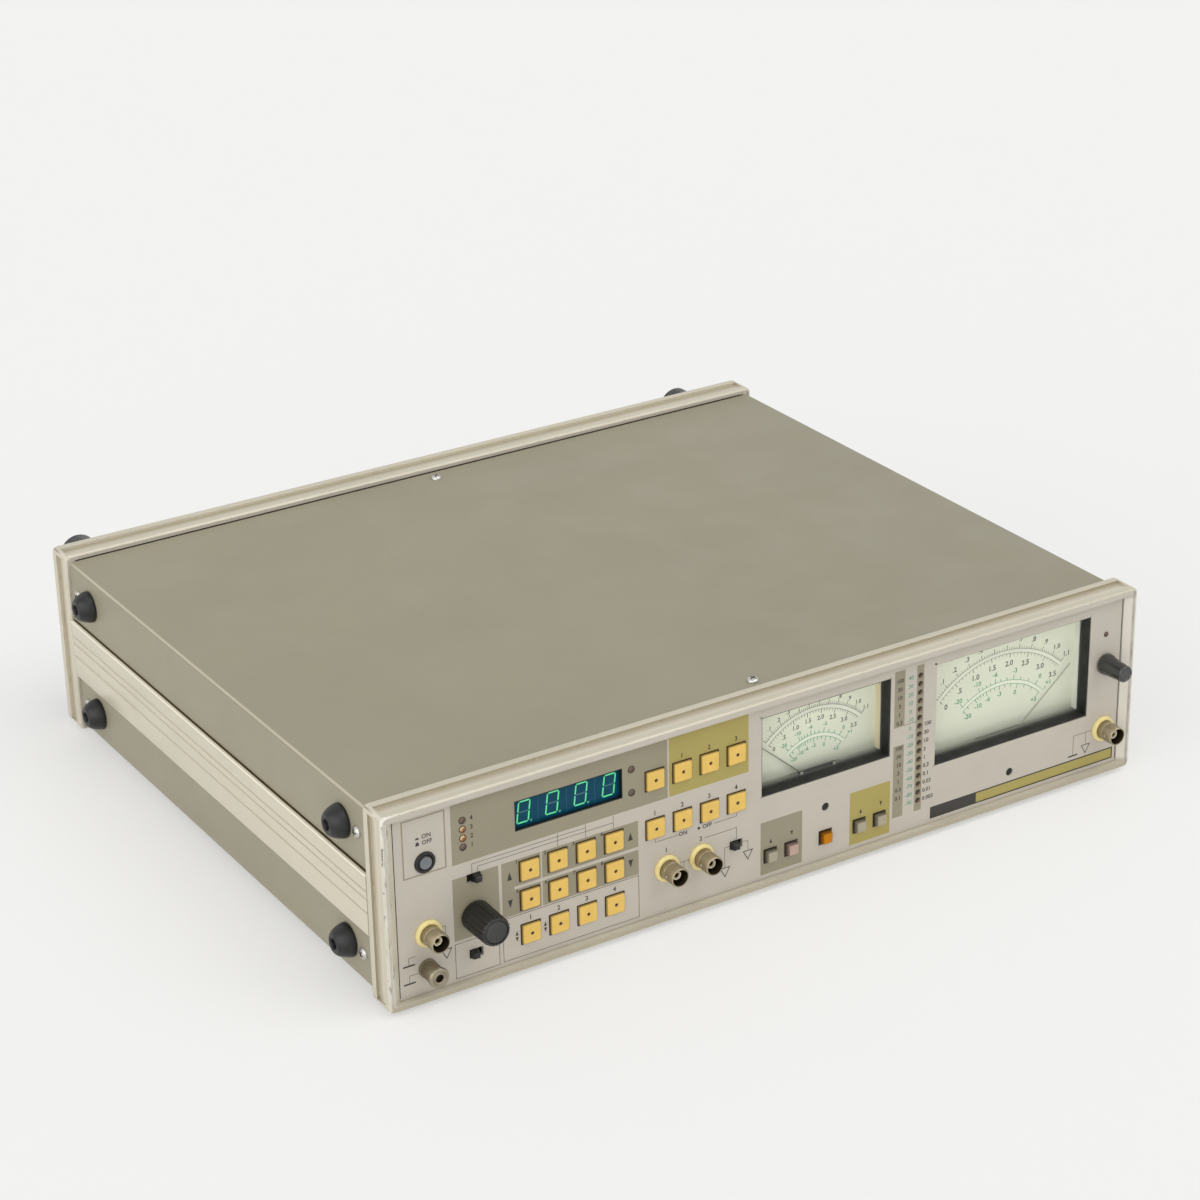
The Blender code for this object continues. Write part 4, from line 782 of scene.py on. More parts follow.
def turned_piece(name, place, profile, finish, slot, body=CHASSIS, **turning):
    """A piece turned about an axis that points into the panel."""
    shape = bmesh.new()
    turned(shape, place, "y", profile, **turning)
    return new_piece(name, shape, [finish], slot, body)


# Share of a block's least side that is cut off its edges
BLOCK_CUT = 0.15


def block(shape, low, high):
    """A box between two corners, with its edges cut back a little."""
    low, high = Vector(low), Vector(high)
    cut = min(high - low) * BLOCK_CUT
    rings = []
    for z, inset in ((low.z, cut), (low.z + cut, 0.0), (high.z - cut, 0.0), (high.z, cut)):
        x0, x1, y0, y1 = low.x + inset, high.x - inset, low.y + inset, high.y - inset
        rings.append([Vector((x, y, z)) for x, y in ((x0, y0), (x1, y0), (x1, y1), (x0, y1))])
    loft(shape, rings)


def facing(places, y):
    """Points at x and z places, all at one depth."""
    return [Vector((x, y, z)) for x, z in places]


class Print:
    """Flat marks of one ink on a face that looks to the front."""

    # A figure's share of its font size, how bold it is, and how much thicker each mark is than the last
    FIGURE_SHARE = 0.7
    BOLD = 0.028
    HAIR = 0.0001 * MM

    # How far an outline triangle reaches above and below its middle, as shares of its half width
    TRIANGLE = (0.85, 0.95)

    def __init__(self, face=PANEL_FACE):
        self.face = face
        self.thick = look("panel").ink
        self.shape = bmesh.new()

    def at(self, x, z):
        """A place on the face."""
        return FRAME_LOW.x + x * MM, FRAME_LOW.z + z * MM

    def depths(self):
        """Front and back of the next mark, a hair thicker than the last so that no two lie level."""
        self.thick += self.HAIR
        return self.face - self.thick, self.face + self.thick

    def patch(self, outline):
        """A filled outline."""
        places = [self.at(x, z) for x, z in outline]
        loft(self.shape, [facing(places, depth) for depth in self.depths()])

    def band(self, sides, closed=False):
        """A flat strip between two rows of places."""
        front, back = self.depths()
        rings = []
        for near, far in sides:
            near, far = self.at(*near), self.at(*far)
            rings.append(facing([near, far], front) + facing([far, near], back))
        loft(self.shape, rings, closed)

    def line(self, points, width, closed=False):
        """A stroke through points, mitred at its corners."""
        points = [Vector(point) for point in points]
        runs = [(far - near).normalized() for near, far in zip(points, points[1:] + points[:1])]
        sides = []
        for i, point in enumerate(points):
            after = runs[i] if closed or i < len(points) - 1 else runs[i - 1]
            before = runs[i - 1] if closed or i else after
            mitre = (before + after).normalized()
            reach = Vector((-mitre.y, mitre.x)) * width / 2 / mitre.dot(after)
            sides.append((point - reach, point + reach))
        self.band(sides, closed)

    def box(self, left, right, foot, head, width):
        """An outline box."""
        self.line([(left, foot), (right, foot), (right, head), (left, head)], width, True)

    def disc(self, x, z, radius, steps=20):
        """A filled dot."""
        turns = [math.tau * i / steps for i in range(steps)]
        self.patch([(x + radius * math.cos(turn), z + radius * math.sin(turn)) for turn in turns])

    def arrow(self, x, z, half, height, up=True):
        """A filled triangle that points up or down."""
        rise = height / 2 if up else -height / 2
        self.patch([(x - half, z - rise), (x + half, z - rise), (x, z + rise)])

    def triangle(self, x, z, half, width):
        """An outline triangle that stands on its tip."""
        head, foot = z + half * self.TRIANGLE[0], z - half * self.TRIANGLE[1]
        self.line([(x - half, head), (x + half, head), (x, foot)], width, True)

    def round_place(self, pivot, radius, turn):
        """A place round a pivot, at an angle clockwise from straight up."""
        return pivot[0] + radius * math.sin(turn), pivot[1] + radius * math.cos(turn)

    def arc(self, pivot, radius, start, end, width, steps=48):
        """A band round a pivot, angles clockwise from straight up."""
        turns = [start + (end - start) * i / steps for i in range(steps + 1)]
        self.band([[self.round_place(pivot, r, turn) for r in (radius - width / 2, radius + width / 2)]
                   for turn in turns])

    def tick(self, pivot, inner, outer, turn, width):
        """A short stroke that points at a pivot."""
        self.line([self.round_place(pivot, r, turn) for r in (inner, outer)], width)

    def figures(self, text, x, z, height, align="CENTER"):
        """Upright figures of that height."""
        curve = bpy.data.curves.new("figures", "FONT")
        curve.body = text
        curve.align_x = align
        curve.align_y = "CENTER"
        curve.size = height * MM / self.FIGURE_SHARE
        curve.resolution_u = 2
        curve.extrude = self.thick
        curve.offset = height * self.BOLD * MM
        holder = bpy.data.objects.new("figures", curve)
        mesh = bpy.data.meshes.new_from_object(holder)
        across, up = self.at(x, z)
        upright = Matrix.Rotation(math.pi / 2, 4, "X")
        mesh.transform(Matrix.Translation((across, self.face, up)) @ upright)
        self.shape.from_mesh(mesh)
        bpy.data.objects.remove(holder)
        bpy.data.curves.remove(curve)
        bpy.data.meshes.remove(mesh)

    def figures_round(self, pivot, radius, turn, text, height):
        """Upright figures at an angle round a pivot."""
        self.figures(text, *self.round_place(pivot, radius, turn), height)

    def piece(self, name, material, slot):
        """The marks as one piece."""
        return new_piece(name, self.shape, [material], slot)


# Case

class FramesOperator(bpy.types.Operator):
    """Round and paint the front and rear castings, worn and painted lighter along their edges, with painted
    shade in their grooves
    """

    bl_idname = "analyzer.frames"
    bl_label = "Castings"

    # A face lies in the groove when it is this far inside the casting and this far from its front and rear
    SHALLOW = 0.5 * MM
    DEEP = 2.4 * MM
    START = 4.0 * MM

    # Painted shade deepens in the groove between these depths
    DIRT = (("front_frame", 7.0 * MM, 13.0 * MM), ("rear_frame", 6.0 * MM, 11.5 * MM))

    # How bare the edges are at the left end, and how many nicks they have
    WEAR = (0.8, 0.7)

    # Places of the finishes in a casting's list
    PAINT, GROOVE, LIP = range(3)

    def execute(self, context):
        # Each groove takes painted shade from the first of its two depths to the second
        for node, shade_start, dirty in self.DIRT:
            low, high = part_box(node)
            groove = groove_paint(low.y + shade_start, low.y + dirty)

            def finish(face):
                place = face.calc_center_median()
                sunk = min(place.x - low.x, high.x - place.x, place.z - low.z, high.z - place.z)
                along = place.y - low.y
                frontal = face.normal.y < -STRAIGHT
                if self.SHALLOW < sunk < self.DEEP and self.START < along < high.y - low.y - self.START:
                    return self.PAINT if node == "rear_frame" and frontal else self.GROOVE
                on_cheek = place.x > high.x - CHEEK - CHEEK_REACH and face.normal.x < -LEANING
                if on_cheek and along < self.START:
                    return self.LIP
                return self.LIP if frontal and along < WELD else self.PAINT

            finishes = [casting_paint(), groove, lip_paint(), worn_edge("casting_rub", *self.WEAR)]
            softened(node, f"{node}_casting", look("case").casting_edge, finishes, "frame_paint", finish)
        return {"FINISHED"}


class CoversOperator(bpy.types.Operator):
    """Round and paint the folded covers and the ribbed side rails"""

    bl_idname = "analyzer.covers"
    bl_label = "Covers and rails"

    # A rail's web reaches this far above its head, and painted shade lies this deep on the ledge beside it
    WEB = 6.0 * MM
    LEDGE = (0.95 * MM, 1.35 * MM)

    def execute(self, context):
        case = look("case")
        for node in ("top_cover", "bottom_cover"):
            # The covers' rounded folds get a painted highlight
            softened(node, f"{node}_sheet", case.cover_edge, [cover_paint(), worn_edge("cover_rub")],
                     "cover_paint")
        for node in RAILS:
            low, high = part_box(node)
            outer = low.x if low.x < CASE_MIDDLE.x else high.x
            way = 1 if low.x < CASE_MIDDLE.x else -1
            paint = rail_finish(high.z - self.WEB, outer + way * self.LEDGE[0], outer + way * self.LEDGE[1])
            finishes = [paint, ink("case", "rail_groove")]
            softened(node, f"{node}_extrusion", case.rail_edge, finishes, "rail_paint", self.rail_face)
        return {"FINISHED"}

    def rail_face(self, face):
        """Darker colour in a rail's grooves, paint elsewhere."""
        return 1 if min(abs(face.normal.z), abs(face.normal.x)) > LEANING else 0


class FeetOperator(bpy.types.Operator):
    """Mould the side, rear and bottom feet"""

    bl_idname = "analyzer.feet"
    bl_label = "Feet"

    # Radii of a side foot's tip and screw well, of the rear and of the bottom feet, and how far the
    # mouldings stand off their solids
    SIDE_TIP = 6.0
    SIDE_BORE = 2.6
    REAR_RADIUS = 10.0
    BOTTOM_RADIUS = 8.0
    OVER = 0.15

    # How far the bottom feet reach up past the front frame's foot
    BOTTOM_ROOT = 3.0

    def side_foot(self, node):
        """A tapered round foot with a rounded tip and the well of its screw."""
        low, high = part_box(node)
        radius = (high.y - low.y) / 2 / MM
        height = (high.x - low.x) / MM
        tip, bore = self.SIDE_TIP, self.SIDE_BORE
        root = Vector((high.x, middle(node).y, middle(node).z))
        profile = [(radius, 0.0), (radius, 0.9), (radius - 0.1, 1.5), (radius - 0.5, height - 4.9),
                   (tip + 1.15, height - 3.4), (tip + 0.65, height - 2.4), (tip + 0.05, height - 1.4),
                   (tip - 0.75, height - 0.55), (tip - 1.4, height - 0.15), (tip - 1.9, height - 0.1),
                   (bore + 1.1, height - 0.3), (bore + 0.85, height - 0.25), (bore + 0.6, height),
                   (bore + 0.25, height - 0.1), (bore, height - 0.5), (bore, height - 4.4)]
        shape = bmesh.new()
        turned(shape, root, "x", [(r, -along) for r, along in profile])
        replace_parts(new_piece(f"{node}_moulding", shape, [foot_rubber()], "foot_rubber"), node)

    def execute(self, context):
        for node in SIDE_FEET:
            self.side_foot(node)
        rests = {mount["name"]: Vector(mount["pos_m"]) for mount in frame["record"]["mounts"]}
        rear = rests["rear_foot_rest"]
        reach = (rear.y - REAR_WALL) / MM
        radius = self.REAR_RADIUS + self.OVER
        shape = bmesh.new()
        for x in (rear.x, 2 * CASE_MIDDLE.x - rear.x):
            for z in (rear.z, 2 * CASE_MIDDLE.z - rear.z):
                turned(shape, (x, REAR_WALL, z), "y", [
                    (radius + 0.5, 0.0), (radius + 0.5, 3.0), (radius, 3.6), (radius, reach - 0.5),
                    (radius - 0.15, reach - 0.1), (radius - 0.5, reach + 0.1), (3.6, reach + 0.1),
                    (3.2, reach + 0.02), (0.0, reach + 0.02)])
        new_piece("rear_feet_mouldings", shape, [foot_rubber()], "foot_rubber")
        rest = rests["bottom_foot_rest"]
        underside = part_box("bottom_cover")[0].z
        top = (FRAME_LOW.z - underside) / MM + self.BOTTOM_ROOT
        radius = self.BOTTOM_RADIUS + self.OVER
        shape = bmesh.new()
        for x in (rest.x, 2 * CASE_MIDDLE.x - rest.x):
            for y in (rest.y, 2 * CASE_MIDDLE.y - rest.y):
                turned(shape, (x, y, underside), "z", [
                    (radius - 2.2, -0.02), (radius - 1.2, 0.0), (radius - 0.5, 1.0), (radius, top - 1.0),
                    (radius, top - 0.05)])
        new_piece("bottom_feet_mouldings", shape, [foot_rubber()], "foot_rubber")
        return {"FINISHED"}


class ScrewsOperator(bpy.types.Operator):
    """Put the cross-headed screws in the covers and the rear panel"""

    bl_idname = "analyzer.screws"
    bl_label = "Cover screws"

    # Radius and height of a head, half length, half width, foot and top of its cross, and reach of its
    # painted shade
    RADIUS = 3.0
    RISE = 1.9
    CROSS = (1.7, 0.38, 0.9, 3.0)
    DIRT_REACH = 1.75 * MM
    DIRT_RISE = 1.0 * MM

    # How far the screws lie from the covers' ends, and their columns and rows
    END = 9.0 * MM
    TOP_COLUMN = 213.0
    SIDE_ROWS = (18.5, 80.5)
    REAR_COLUMNS = (120.0, 306.0)
    REAR_ROWS = (12.0, 87.0)

    # How far each screw is turned past the last
    TURN = math.radians(23)

    def head(self):
        """A domed head with a cross sunk into it."""
        radius, rise = self.RADIUS, self.RISE
        dome = bmesh.new()
        turned(dome, (0, 0, 0), "z", [(radius, -0.3), (radius, 0.4), (radius * 0.9, 1.1),
                                      (radius * 0.66, 1.6), (radius * 0.35, rise), (0.0, rise)])
        cross = bmesh.new()
        long, thin, foot, top = self.CROSS
        for x, y in ((long, thin), (thin, long)):
            block(cross, Vector((-x, -y, foot)) * MM, Vector((x, y, top)) * MM)
        meshes = [closed_mesh("cover_screw_head", dome), closed_mesh("cover_screw_cross", cross)]
        blank, tool = (linked(mesh.name, mesh) for mesh in meshes)
        cut = blank.modifiers.new("Cross", "BOOLEAN")
        cut.object = tool
        cut.operation = "DIFFERENCE"
        cut.use_self = True
        finished = blank.evaluated_get(bpy.context.evaluated_depsgraph_get())
        cut_mesh = bpy.data.meshes.new_from_object(finished)
        for holder in (blank, tool):
            bpy.data.objects.remove(holder)
        for mesh in meshes:
            bpy.data.meshes.remove(mesh)
        # Painted shade in and round the cross
        for face in cut_mesh.polygons:
            inside = math.hypot(face.center.x, face.center.y) < self.DIRT_REACH
            deep = face.normal.z < LEANING or face.center.z < self.DIRT_RISE
            face.material_index = 1 if inside and deep else 0
        cut_mesh.shade_smooth()
        cut_mesh.set_sharp_from_angle(angle=SMOOTH_UNDER)
        return cut_mesh

    def execute(self, context):
        mesh = self.head()
        steel = [plated("case", "steel", 0.26), ink("case", "seam")]
        ends = (COVER_LOW.y + self.END, COVER_HIGH.y - self.END)
        quarter = math.pi / 2
        outward = {"left": Matrix.Rotation(-quarter, 4, "Y"), "right": Matrix.Rotation(quarter, 4, "Y"),
                   "top": Matrix.Identity(4), "rear": Matrix.Rotation(-quarter, 4, "X")}
        places = [("top", Vector((FRAME_LOW.x + self.TOP_COLUMN * MM, y, COVER_HIGH.z))) for y in ends]
        for side, x in (("left", COVER_LOW.x), ("right", COVER_HIGH.x)):
            places += [(side, Vector((x, y, FRAME_LOW.z + z * MM))) for y in ends for z in self.SIDE_ROWS]
        places += [("rear", Vector((FRAME_LOW.x + x * MM, REAR_WALL, FRAME_LOW.z + z * MM)))
                   for x in self.REAR_COLUMNS for z in self.REAR_ROWS]
        for number, (side, place) in enumerate(places, 1):
            turn = Matrix.Rotation(self.TURN * number, 4, "Z")
            place_piece(f"cover_screw_{number}", mesh, steel, "nickel",
                        place=Matrix.Translation(place) @ outward[side] @ turn)
        return {"FINISHED"}


# Front panel

class PanelOperator(bpy.types.Operator):
    """Paint the front panel and print its blocks, lines, arrows and figures"""

    bl_idname = "analyzer.panel"
    bl_label = "Front panel"

    # The strip under the ratio meter as (left, right, foot, head), and where its dark end stops
    STRIP = (302.3, 416.9, 6.1, 11.8)
    STRIP_SPLIT = 330.3

    # Printed blocks as (left, right, foot, head), and the bare gap through the preset keys' blocks
    KHAKI = ((35.9, 149.6, 63.3, 93.4), (35.5, 59.2, 24.7, 56.4), (60.7, 133.3, 42.9, 56.4),
             (60.7, 133.3, 28.5, 41.3), (60.7, 67.2, 41.3, 42.9), (201.4, 225.4, 5.9, 33.9),
             (278.8, 285.0, 61.6, 91.6), (278.8, 285.0, 12.9, 51.8), (291.9, 296.2, 12.9, 91.6))
    GAPS = ((81.1, 81.8, 28.5, 56.4),)
    OLIVE = ((150.4, 194.5, 63.5, 93.7), (253.3, 277.3, 5.9, 34.3), (STRIP_SPLIT, *STRIP[1:]))
    DARK = ((STRIP[0], STRIP_SPLIT, *STRIP[2:]),)

    # Arrows of one half width and height as (x, z, up)
    ARROWS = ((1.3, 4.2, ((64.8, 49.0, True), (64.8, 34.7, False), (129.0, 49.5, True),
                          (129.0, 35.2, False))),
              (0.8, 2.4, ((67.7, 18.6, True), (67.7, 15.4, False), (82.7, 18.8, True), (82.7, 15.6, False),
                          (207.3, 23.0, True), (219.4, 23.5, False), (259.8, 23.0, True),
                          (271.8, 23.5, False))))

    # Places of the outline triangles, and their half width and line
    TRIANGLES = ((31.3, 20.3), (181.2, 14.3), (194.2, 19.7), (399.4, 16.2))
    TRIANGLE = (2.6, 0.42)

    # Fine bracket lines as runs of (x, z), fine boxes as (left, right, foot, head), and their widths
    BRACKETS = (((45.7, 56.4), (45.7, 61.4), (90.3, 61.4)), ((48.6, 56.4), (48.6, 59.4), (105.1, 59.4)),
                ((90.3, 63.0), (90.3, 56.4)), ((105.1, 63.0), (105.1, 56.4)), ((120.0, 63.0), (120.0, 56.4)),
                ((90.3, 61.4), (105.1, 61.4)), ((105.1, 59.4), (120.0, 59.4)),
                ((142.5, 44.0), (142.5, 42.2), (155.0, 42.2)), ((175.2, 42.2), (187.7, 42.2), (187.7, 44.0)),
                ((169.8, 36.1), (187.7, 36.1), (187.7, 30.0)), ((186.0, 27.3), (181.0, 27.3), (181.0, 16.9)),
                ((190.0, 27.3), (194.2, 27.3), (194.2, 22.4)), ((155.0, 27.3), (161.2, 27.3)),
                ((158.2, 27.3), (158.2, 21.5)), ((27.8, 34.6), (31.2, 34.6), (31.2, 23.0)),
                ((12.0, 20.1), (12.0, 24.0), (15.5, 24.0)), ((12.0, 11.0), (12.0, 15.0), (16.5, 15.0)),
                ((403.5, 25.3), (391.4, 25.3), (391.4, 14.3)), ((399.4, 25.3), (399.4, 18.8)),
                ((285.0, 61.8), (291.9, 61.8)))
    BRACKET_LINE = 0.28
    FINE_BOXES = ((35.7, 58.4, 5.5, 23.2), (60.5, 133.2, 5.9, 27.8))
    FINE_LINE = 0.3

    # The box round the power button, and the line of that box and of the strip
    POWER_BOX = (11.6, 32.8, 64.0, 92.4)
    OUTLINE = 0.7

    # Ground bars as (left, right, z), and painted shade lines in the gaps beside the cheeks with their foot,
    # head and line
    BARS = ((9.0, 15.0, 20.1), (9.0, 15.0, 11.0), (388.4, 394.4, 14.3))
    BAR_LINE = 0.8
    SEAMS = (6.9, 419.1)
    SEAM_ENDS = (5.0, 93.5)
    SEAM_LINE = 0.4

    # Heights of small and large figures
    FIGURE = 2.1
    LARGE_FIGURE = 2.2

    # Figures beside the range lamps, after their column and the lamp they start at
    VOLTS_HIGH = (282.0, 0, ("100", "30", "10", "3", "1", "0.3"))
    VOLTS_LOW = (282.0, 8, ("100", "30", "10", "3", "1", "0.3", "0.1"))
    DECIBELS = (288.5, 0, ("40", "30", "20", "10", "0", "-10", "0", "-10", "-20", "-30", "-40", "-50", "-60",
                           "-70", "-80", "-90"))
    SHARES = (296.8, 6, ("100", "30", "10", "3", "1", "0.3", "0.1", "0.03", "0.01", "0.003"))

    # Words of the power button and the filter keys, the dot between those, and signs for a button out and in
    POWER_WORDS = (("ON", 21.2, 82.6), ("OFF", 21.2, 79.5))
    POWER_SIGNS = (((18.0, 81.8), (20.0, 81.8), (19.6, 82.7), (18.4, 82.7)),
                   ((18.0, 78.7), (20.0, 78.7), (19.6, 80.5), (18.4, 80.5)))
    FILTER_WORDS = (("ON", 157.8, 42.2), ("OFF", 171.2, 42.2))
    FILTER_DOT = (166.6, 42.2, 0.75)

    # Column of the band lamps' figures, and row of the inputs' figures
    BAND_COLUMN = 45.6
    INPUT_ROW = 36.3

    # Rows of keys that are counted through, how far right and above a key its figure stands, and its height
    KEY_FIGURES = ((("upper_preset", "lower_preset"), -6.4, 5.4, 1.9), (("mode",), 0.0, 7.6, 2.3),
                   (("filter",), 0.0, 7.6, 2.3), (("measurement",), 0.0, 7.8, 2.3))

    def front_faces(self, shape, area):
        """Faces of the panel's front that reach into an area."""
        low, high = panel_point(area[0], area[2]), panel_point(area[1], area[3])
        found = []
        for face in shape.faces:
            if face.normal.y > -STRAIGHT or abs(face.calc_center_median().y - PANEL_FACE) > WELD:
                continue
            xs = [vert.co.x for vert in face.verts]
            zs = [vert.co.z for vert in face.verts]
            if max(xs) > low.x and min(xs) < high.x and max(zs) > low.z and min(zs) < high.z:
                found.append(face)
        return found

    def mark_block(self, shape, area, index):
        """Cut the panel's face along an area's sides and give what lies inside another finish."""
        low, high = panel_point(area[0], area[2]), panel_point(area[1], area[3])
        for corner in (low, high):
            for normal in (Vector((1, 0, 0)), Vector((0, 0, 1))):
                faces = self.front_faces(shape, area)
                edges = {edge for face in faces for edge in face.edges}
                verts = {vert for face in faces for vert in face.verts}
                bmesh.ops.bisect_plane(shape, geom=[*faces, *edges, *verts], dist=WELD / 10,
                                       plane_co=corner, plane_no=normal)
        for face in self.front_faces(shape, area):
            centre = face.calc_center_median()
            if low.x < centre.x < high.x and low.z < centre.z < high.z:
                face.material_index = index

    def painted_panel(self):
        """The panel's solid with its face cut into painted and printed areas."""
        shape = bmesh.new()
        shape.from_mesh(frame["nodes"]["front_panel"].data)
        bmesh.ops.remove_doubles(shape, verts=shape.verts, dist=WELD)
        shape.normal_update()
        for face in shape.faces:
            face.material_index = 0
        for index, areas in ((1, self.KHAKI), (0, self.GAPS), (2, self.OLIVE), (3, self.DARK)):
            for area in areas:
                self.mark_block(shape, area, index)
        finishes = [panel_paint(name) for name in ("face", "khaki", "olive", "dark")]
        piece = new_piece("front_panel_painted", shape, finishes, "panel_paint", smooth=False)
        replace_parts(piece, "front_panel")

    def key_figures(self, marks):
        """A plain figure beside each key."""
        for rows, side, above, height in self.KEY_FIGURES:
            keys = [key for row in rows for key in YELLOW_KEYS if key.startswith(f"{row}_key")]
            for number, key in enumerate(keys, 1):
                x, z = panel_place(key)
                marks.figures(str(number), x + side, z + above, height)

    def range_figures(self, marks, column, align="CENTER"):
        """A column of figures beside the range lamps."""
        x, first, texts = column
        for row, text in enumerate(texts, first):
            marks.figures(text, x, RANGE_TOP - RANGE_PITCH * row, self.FIGURE, align)

    def words(self, marks):
        """Words and figures of the power button, the band lamps, the keys and the inputs."""
        for text, x, z in self.POWER_WORDS:
            marks.figures(text, x, z, self.FIGURE, "LEFT")
        for sign in self.POWER_SIGNS:
            marks.patch(sign)
        for i in range(4):
            marks.figures(str(4 - i), self.BAND_COLUMN, BAND_TOP - BAND_PITCH * i, self.LARGE_FIGURE, "LEFT")
        self.key_figures(marks)
        for text, x, z in self.FILTER_WORDS:
            marks.figures(text, x, z, self.FIGURE)
        marks.disc(*self.FILTER_DOT)
        for number, node in enumerate(("input_a_socket", "input_b_socket"), 1):
            marks.figures(str(number), panel_place(node)[0], self.INPUT_ROW, self.LARGE_FIGURE)

    def dark_marks(self):
        """Figures, arrows, bars, outlines and painted shade lines in the gaps beside the cheeks."""
        marks = Print()
        # Painted shade in the gaps between the panel and the cheeks
        for x in self.SEAMS:
            marks.line([(x, z) for z in self.SEAM_ENDS], self.SEAM_LINE)
        self.words(marks)
        for half, height, places in self.ARROWS:
            for x, z, up in places:
                marks.arrow(x, z, half, height, up)
        for x, z in self.TRIANGLES:
            marks.triangle(x, z, *self.TRIANGLE)
        for left, right, z in self.BARS:
            marks.line([(left, z), (right, z)], self.BAR_LINE)
        marks.box(*self.STRIP, self.OUTLINE)
        self.range_figures(marks, self.VOLTS_HIGH)
        self.range_figures(marks, self.VOLTS_LOW)
        self.range_figures(marks, self.SHARES, "LEFT")
        marks.piece("panel_dark_print_and_gap_shade", ink("panel", "dark"), "panel_paint")

    def fine_marks(self):
        """Bracket lines, boxes and the green decibel figures."""
        lines = Print()
        for points in self.BRACKETS:
            lines.line(points, self.BRACKET_LINE)
        for box in self.FINE_BOXES:
            lines.box(*box, self.FINE_LINE)
        lines.piece("panel_fine_lines", ink("panel", "line"), "panel_paint")
        outline = Print()
        outline.box(*self.POWER_BOX, self.OUTLINE)
        outline.piece("power_outline_print", ink("panel", "brown"), "panel_paint")
        decibels = Print()
        self.range_figures(decibels, self.DECIBELS)
        decibels.piece("panel_green_print", ink("panel", "green"), "panel_paint")

    def execute(self, context):
        self.painted_panel()
        self.dark_marks()
        self.fine_marks()
        return {"FINISHED"}


class KeysOperator(bpy.types.Operator):
    """Mould the yellow keys with their lamps, the range keys and the slides"""

    bl_idname = "analyzer.keys"
    bl_label = "Keys and slides"

    # Widths of a small and of a yellow cap, and of the shaded edge of the hole round it
    CAPS = (6.5, 9.6)
    WELL = 0.6

    # How much the solid cuts off the corners of a cap, and how much is cut off here
    CUT = 1.0
    CORNER = 0.45

    # A small cap is drawn in to this share of its width from this far behind its front
    TAPER = 0.82
    TAPER_START = 0.8

    # How much of its colour a yellow cap keeps at the panel under its painted side shade
    YELLOW_FOOT = 0.35

    # Lens of a key's lamp as (radius, distance behind the cap's front)
    LENS = ((0.82, 0.6), (0.82, 0.15), (0.656, 0.02), (0.328, -0.06), (0.0, -0.08))

    # Colour, gloss and slot of the small keys
    SMALL_KEYS = {**dict.fromkeys(GREY_KEYS, ("grey", 0.5, "grey_key")),
                  "input_range_down_key": ("pink", 0.5, "pink_key"),
                  "ranging_key": ("orange", 0.1, "orange_key")}

    def square_up(self, cap, node):
        """Fill out the corners of a cap, which the solid cuts off."""
        place = middle(node)
        for vertex in cap.data.vertices:
            across, up = vertex.co.x - place.x, vertex.co.z - place.z
            over = abs(across) - abs(up)
            if abs(abs(over) - self.CUT * MM) > WELD:
                continue
            if over > 0:
                vertex.co.z = place.z + math.copysign(abs(across) - self.CORNER * MM, up)
            else:
                vertex.co.x = place.x + math.copysign(abs(up) - self.CORNER * MM, across)

    def taper(self, cap, node):
        """Draw the front of a small key in."""
        place = front_middle(node)
        for vertex in cap.data.vertices:
            if vertex.co.y < place.y + self.TAPER_START * MM:
                vertex.co.x = place.x + (vertex.co.x - place.x) * self.TAPER
                vertex.co.z = place.z + (vertex.co.z - place.z) * self.TAPER

    def wells(self):
        """The shaded edges of the holes that the keys stand in."""
        marks = Print()
        for node in (*YELLOW_KEYS, *self.SMALL_KEYS):
            x, z = panel_place(node)
            half = (self.CAPS[node in YELLOW_KEYS] + self.WELL) / 2
            marks.box(x - half, x + half, z - half, z + half, self.WELL)
        marks.piece("key_wells", ink("control", "well"), "panel_paint")

    def execute(self, context):
        edge = look("control").key_edge
        self.wells()
        for node in YELLOW_KEYS:
            front = front_middle(node)
            # Yellow caps get painted shade down their sides
            plastic = moulded("control", "yellow", front=front.y, depth=self.YELLOW_FOOT)
            self.square_up(softened(node, f"{node}_cap", edge, [plastic], "yellow_key"), node)
            turned_piece(f"{node}_lamp", front, self.LENS, moulded("control", "dot", 0.25), "black_plastic",
                         node, steps=20)
        for node, (colour, gloss, slot) in self.SMALL_KEYS.items():
            # Small caps get painted shade down their sides
            plastic = moulded("control", colour, gloss=gloss, front=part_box(node)[0].y)
            cap = softened(node, f"{node}_cap", edge, [plastic], slot)
            self.square_up(cap, node)
            self.taper(cap, node)
        for node in SLIDES:
            softened(node, f"{node}_lever", edge, [moulded("control", "black", 0.42)], "black_plastic")
        return {"FINISHED"}


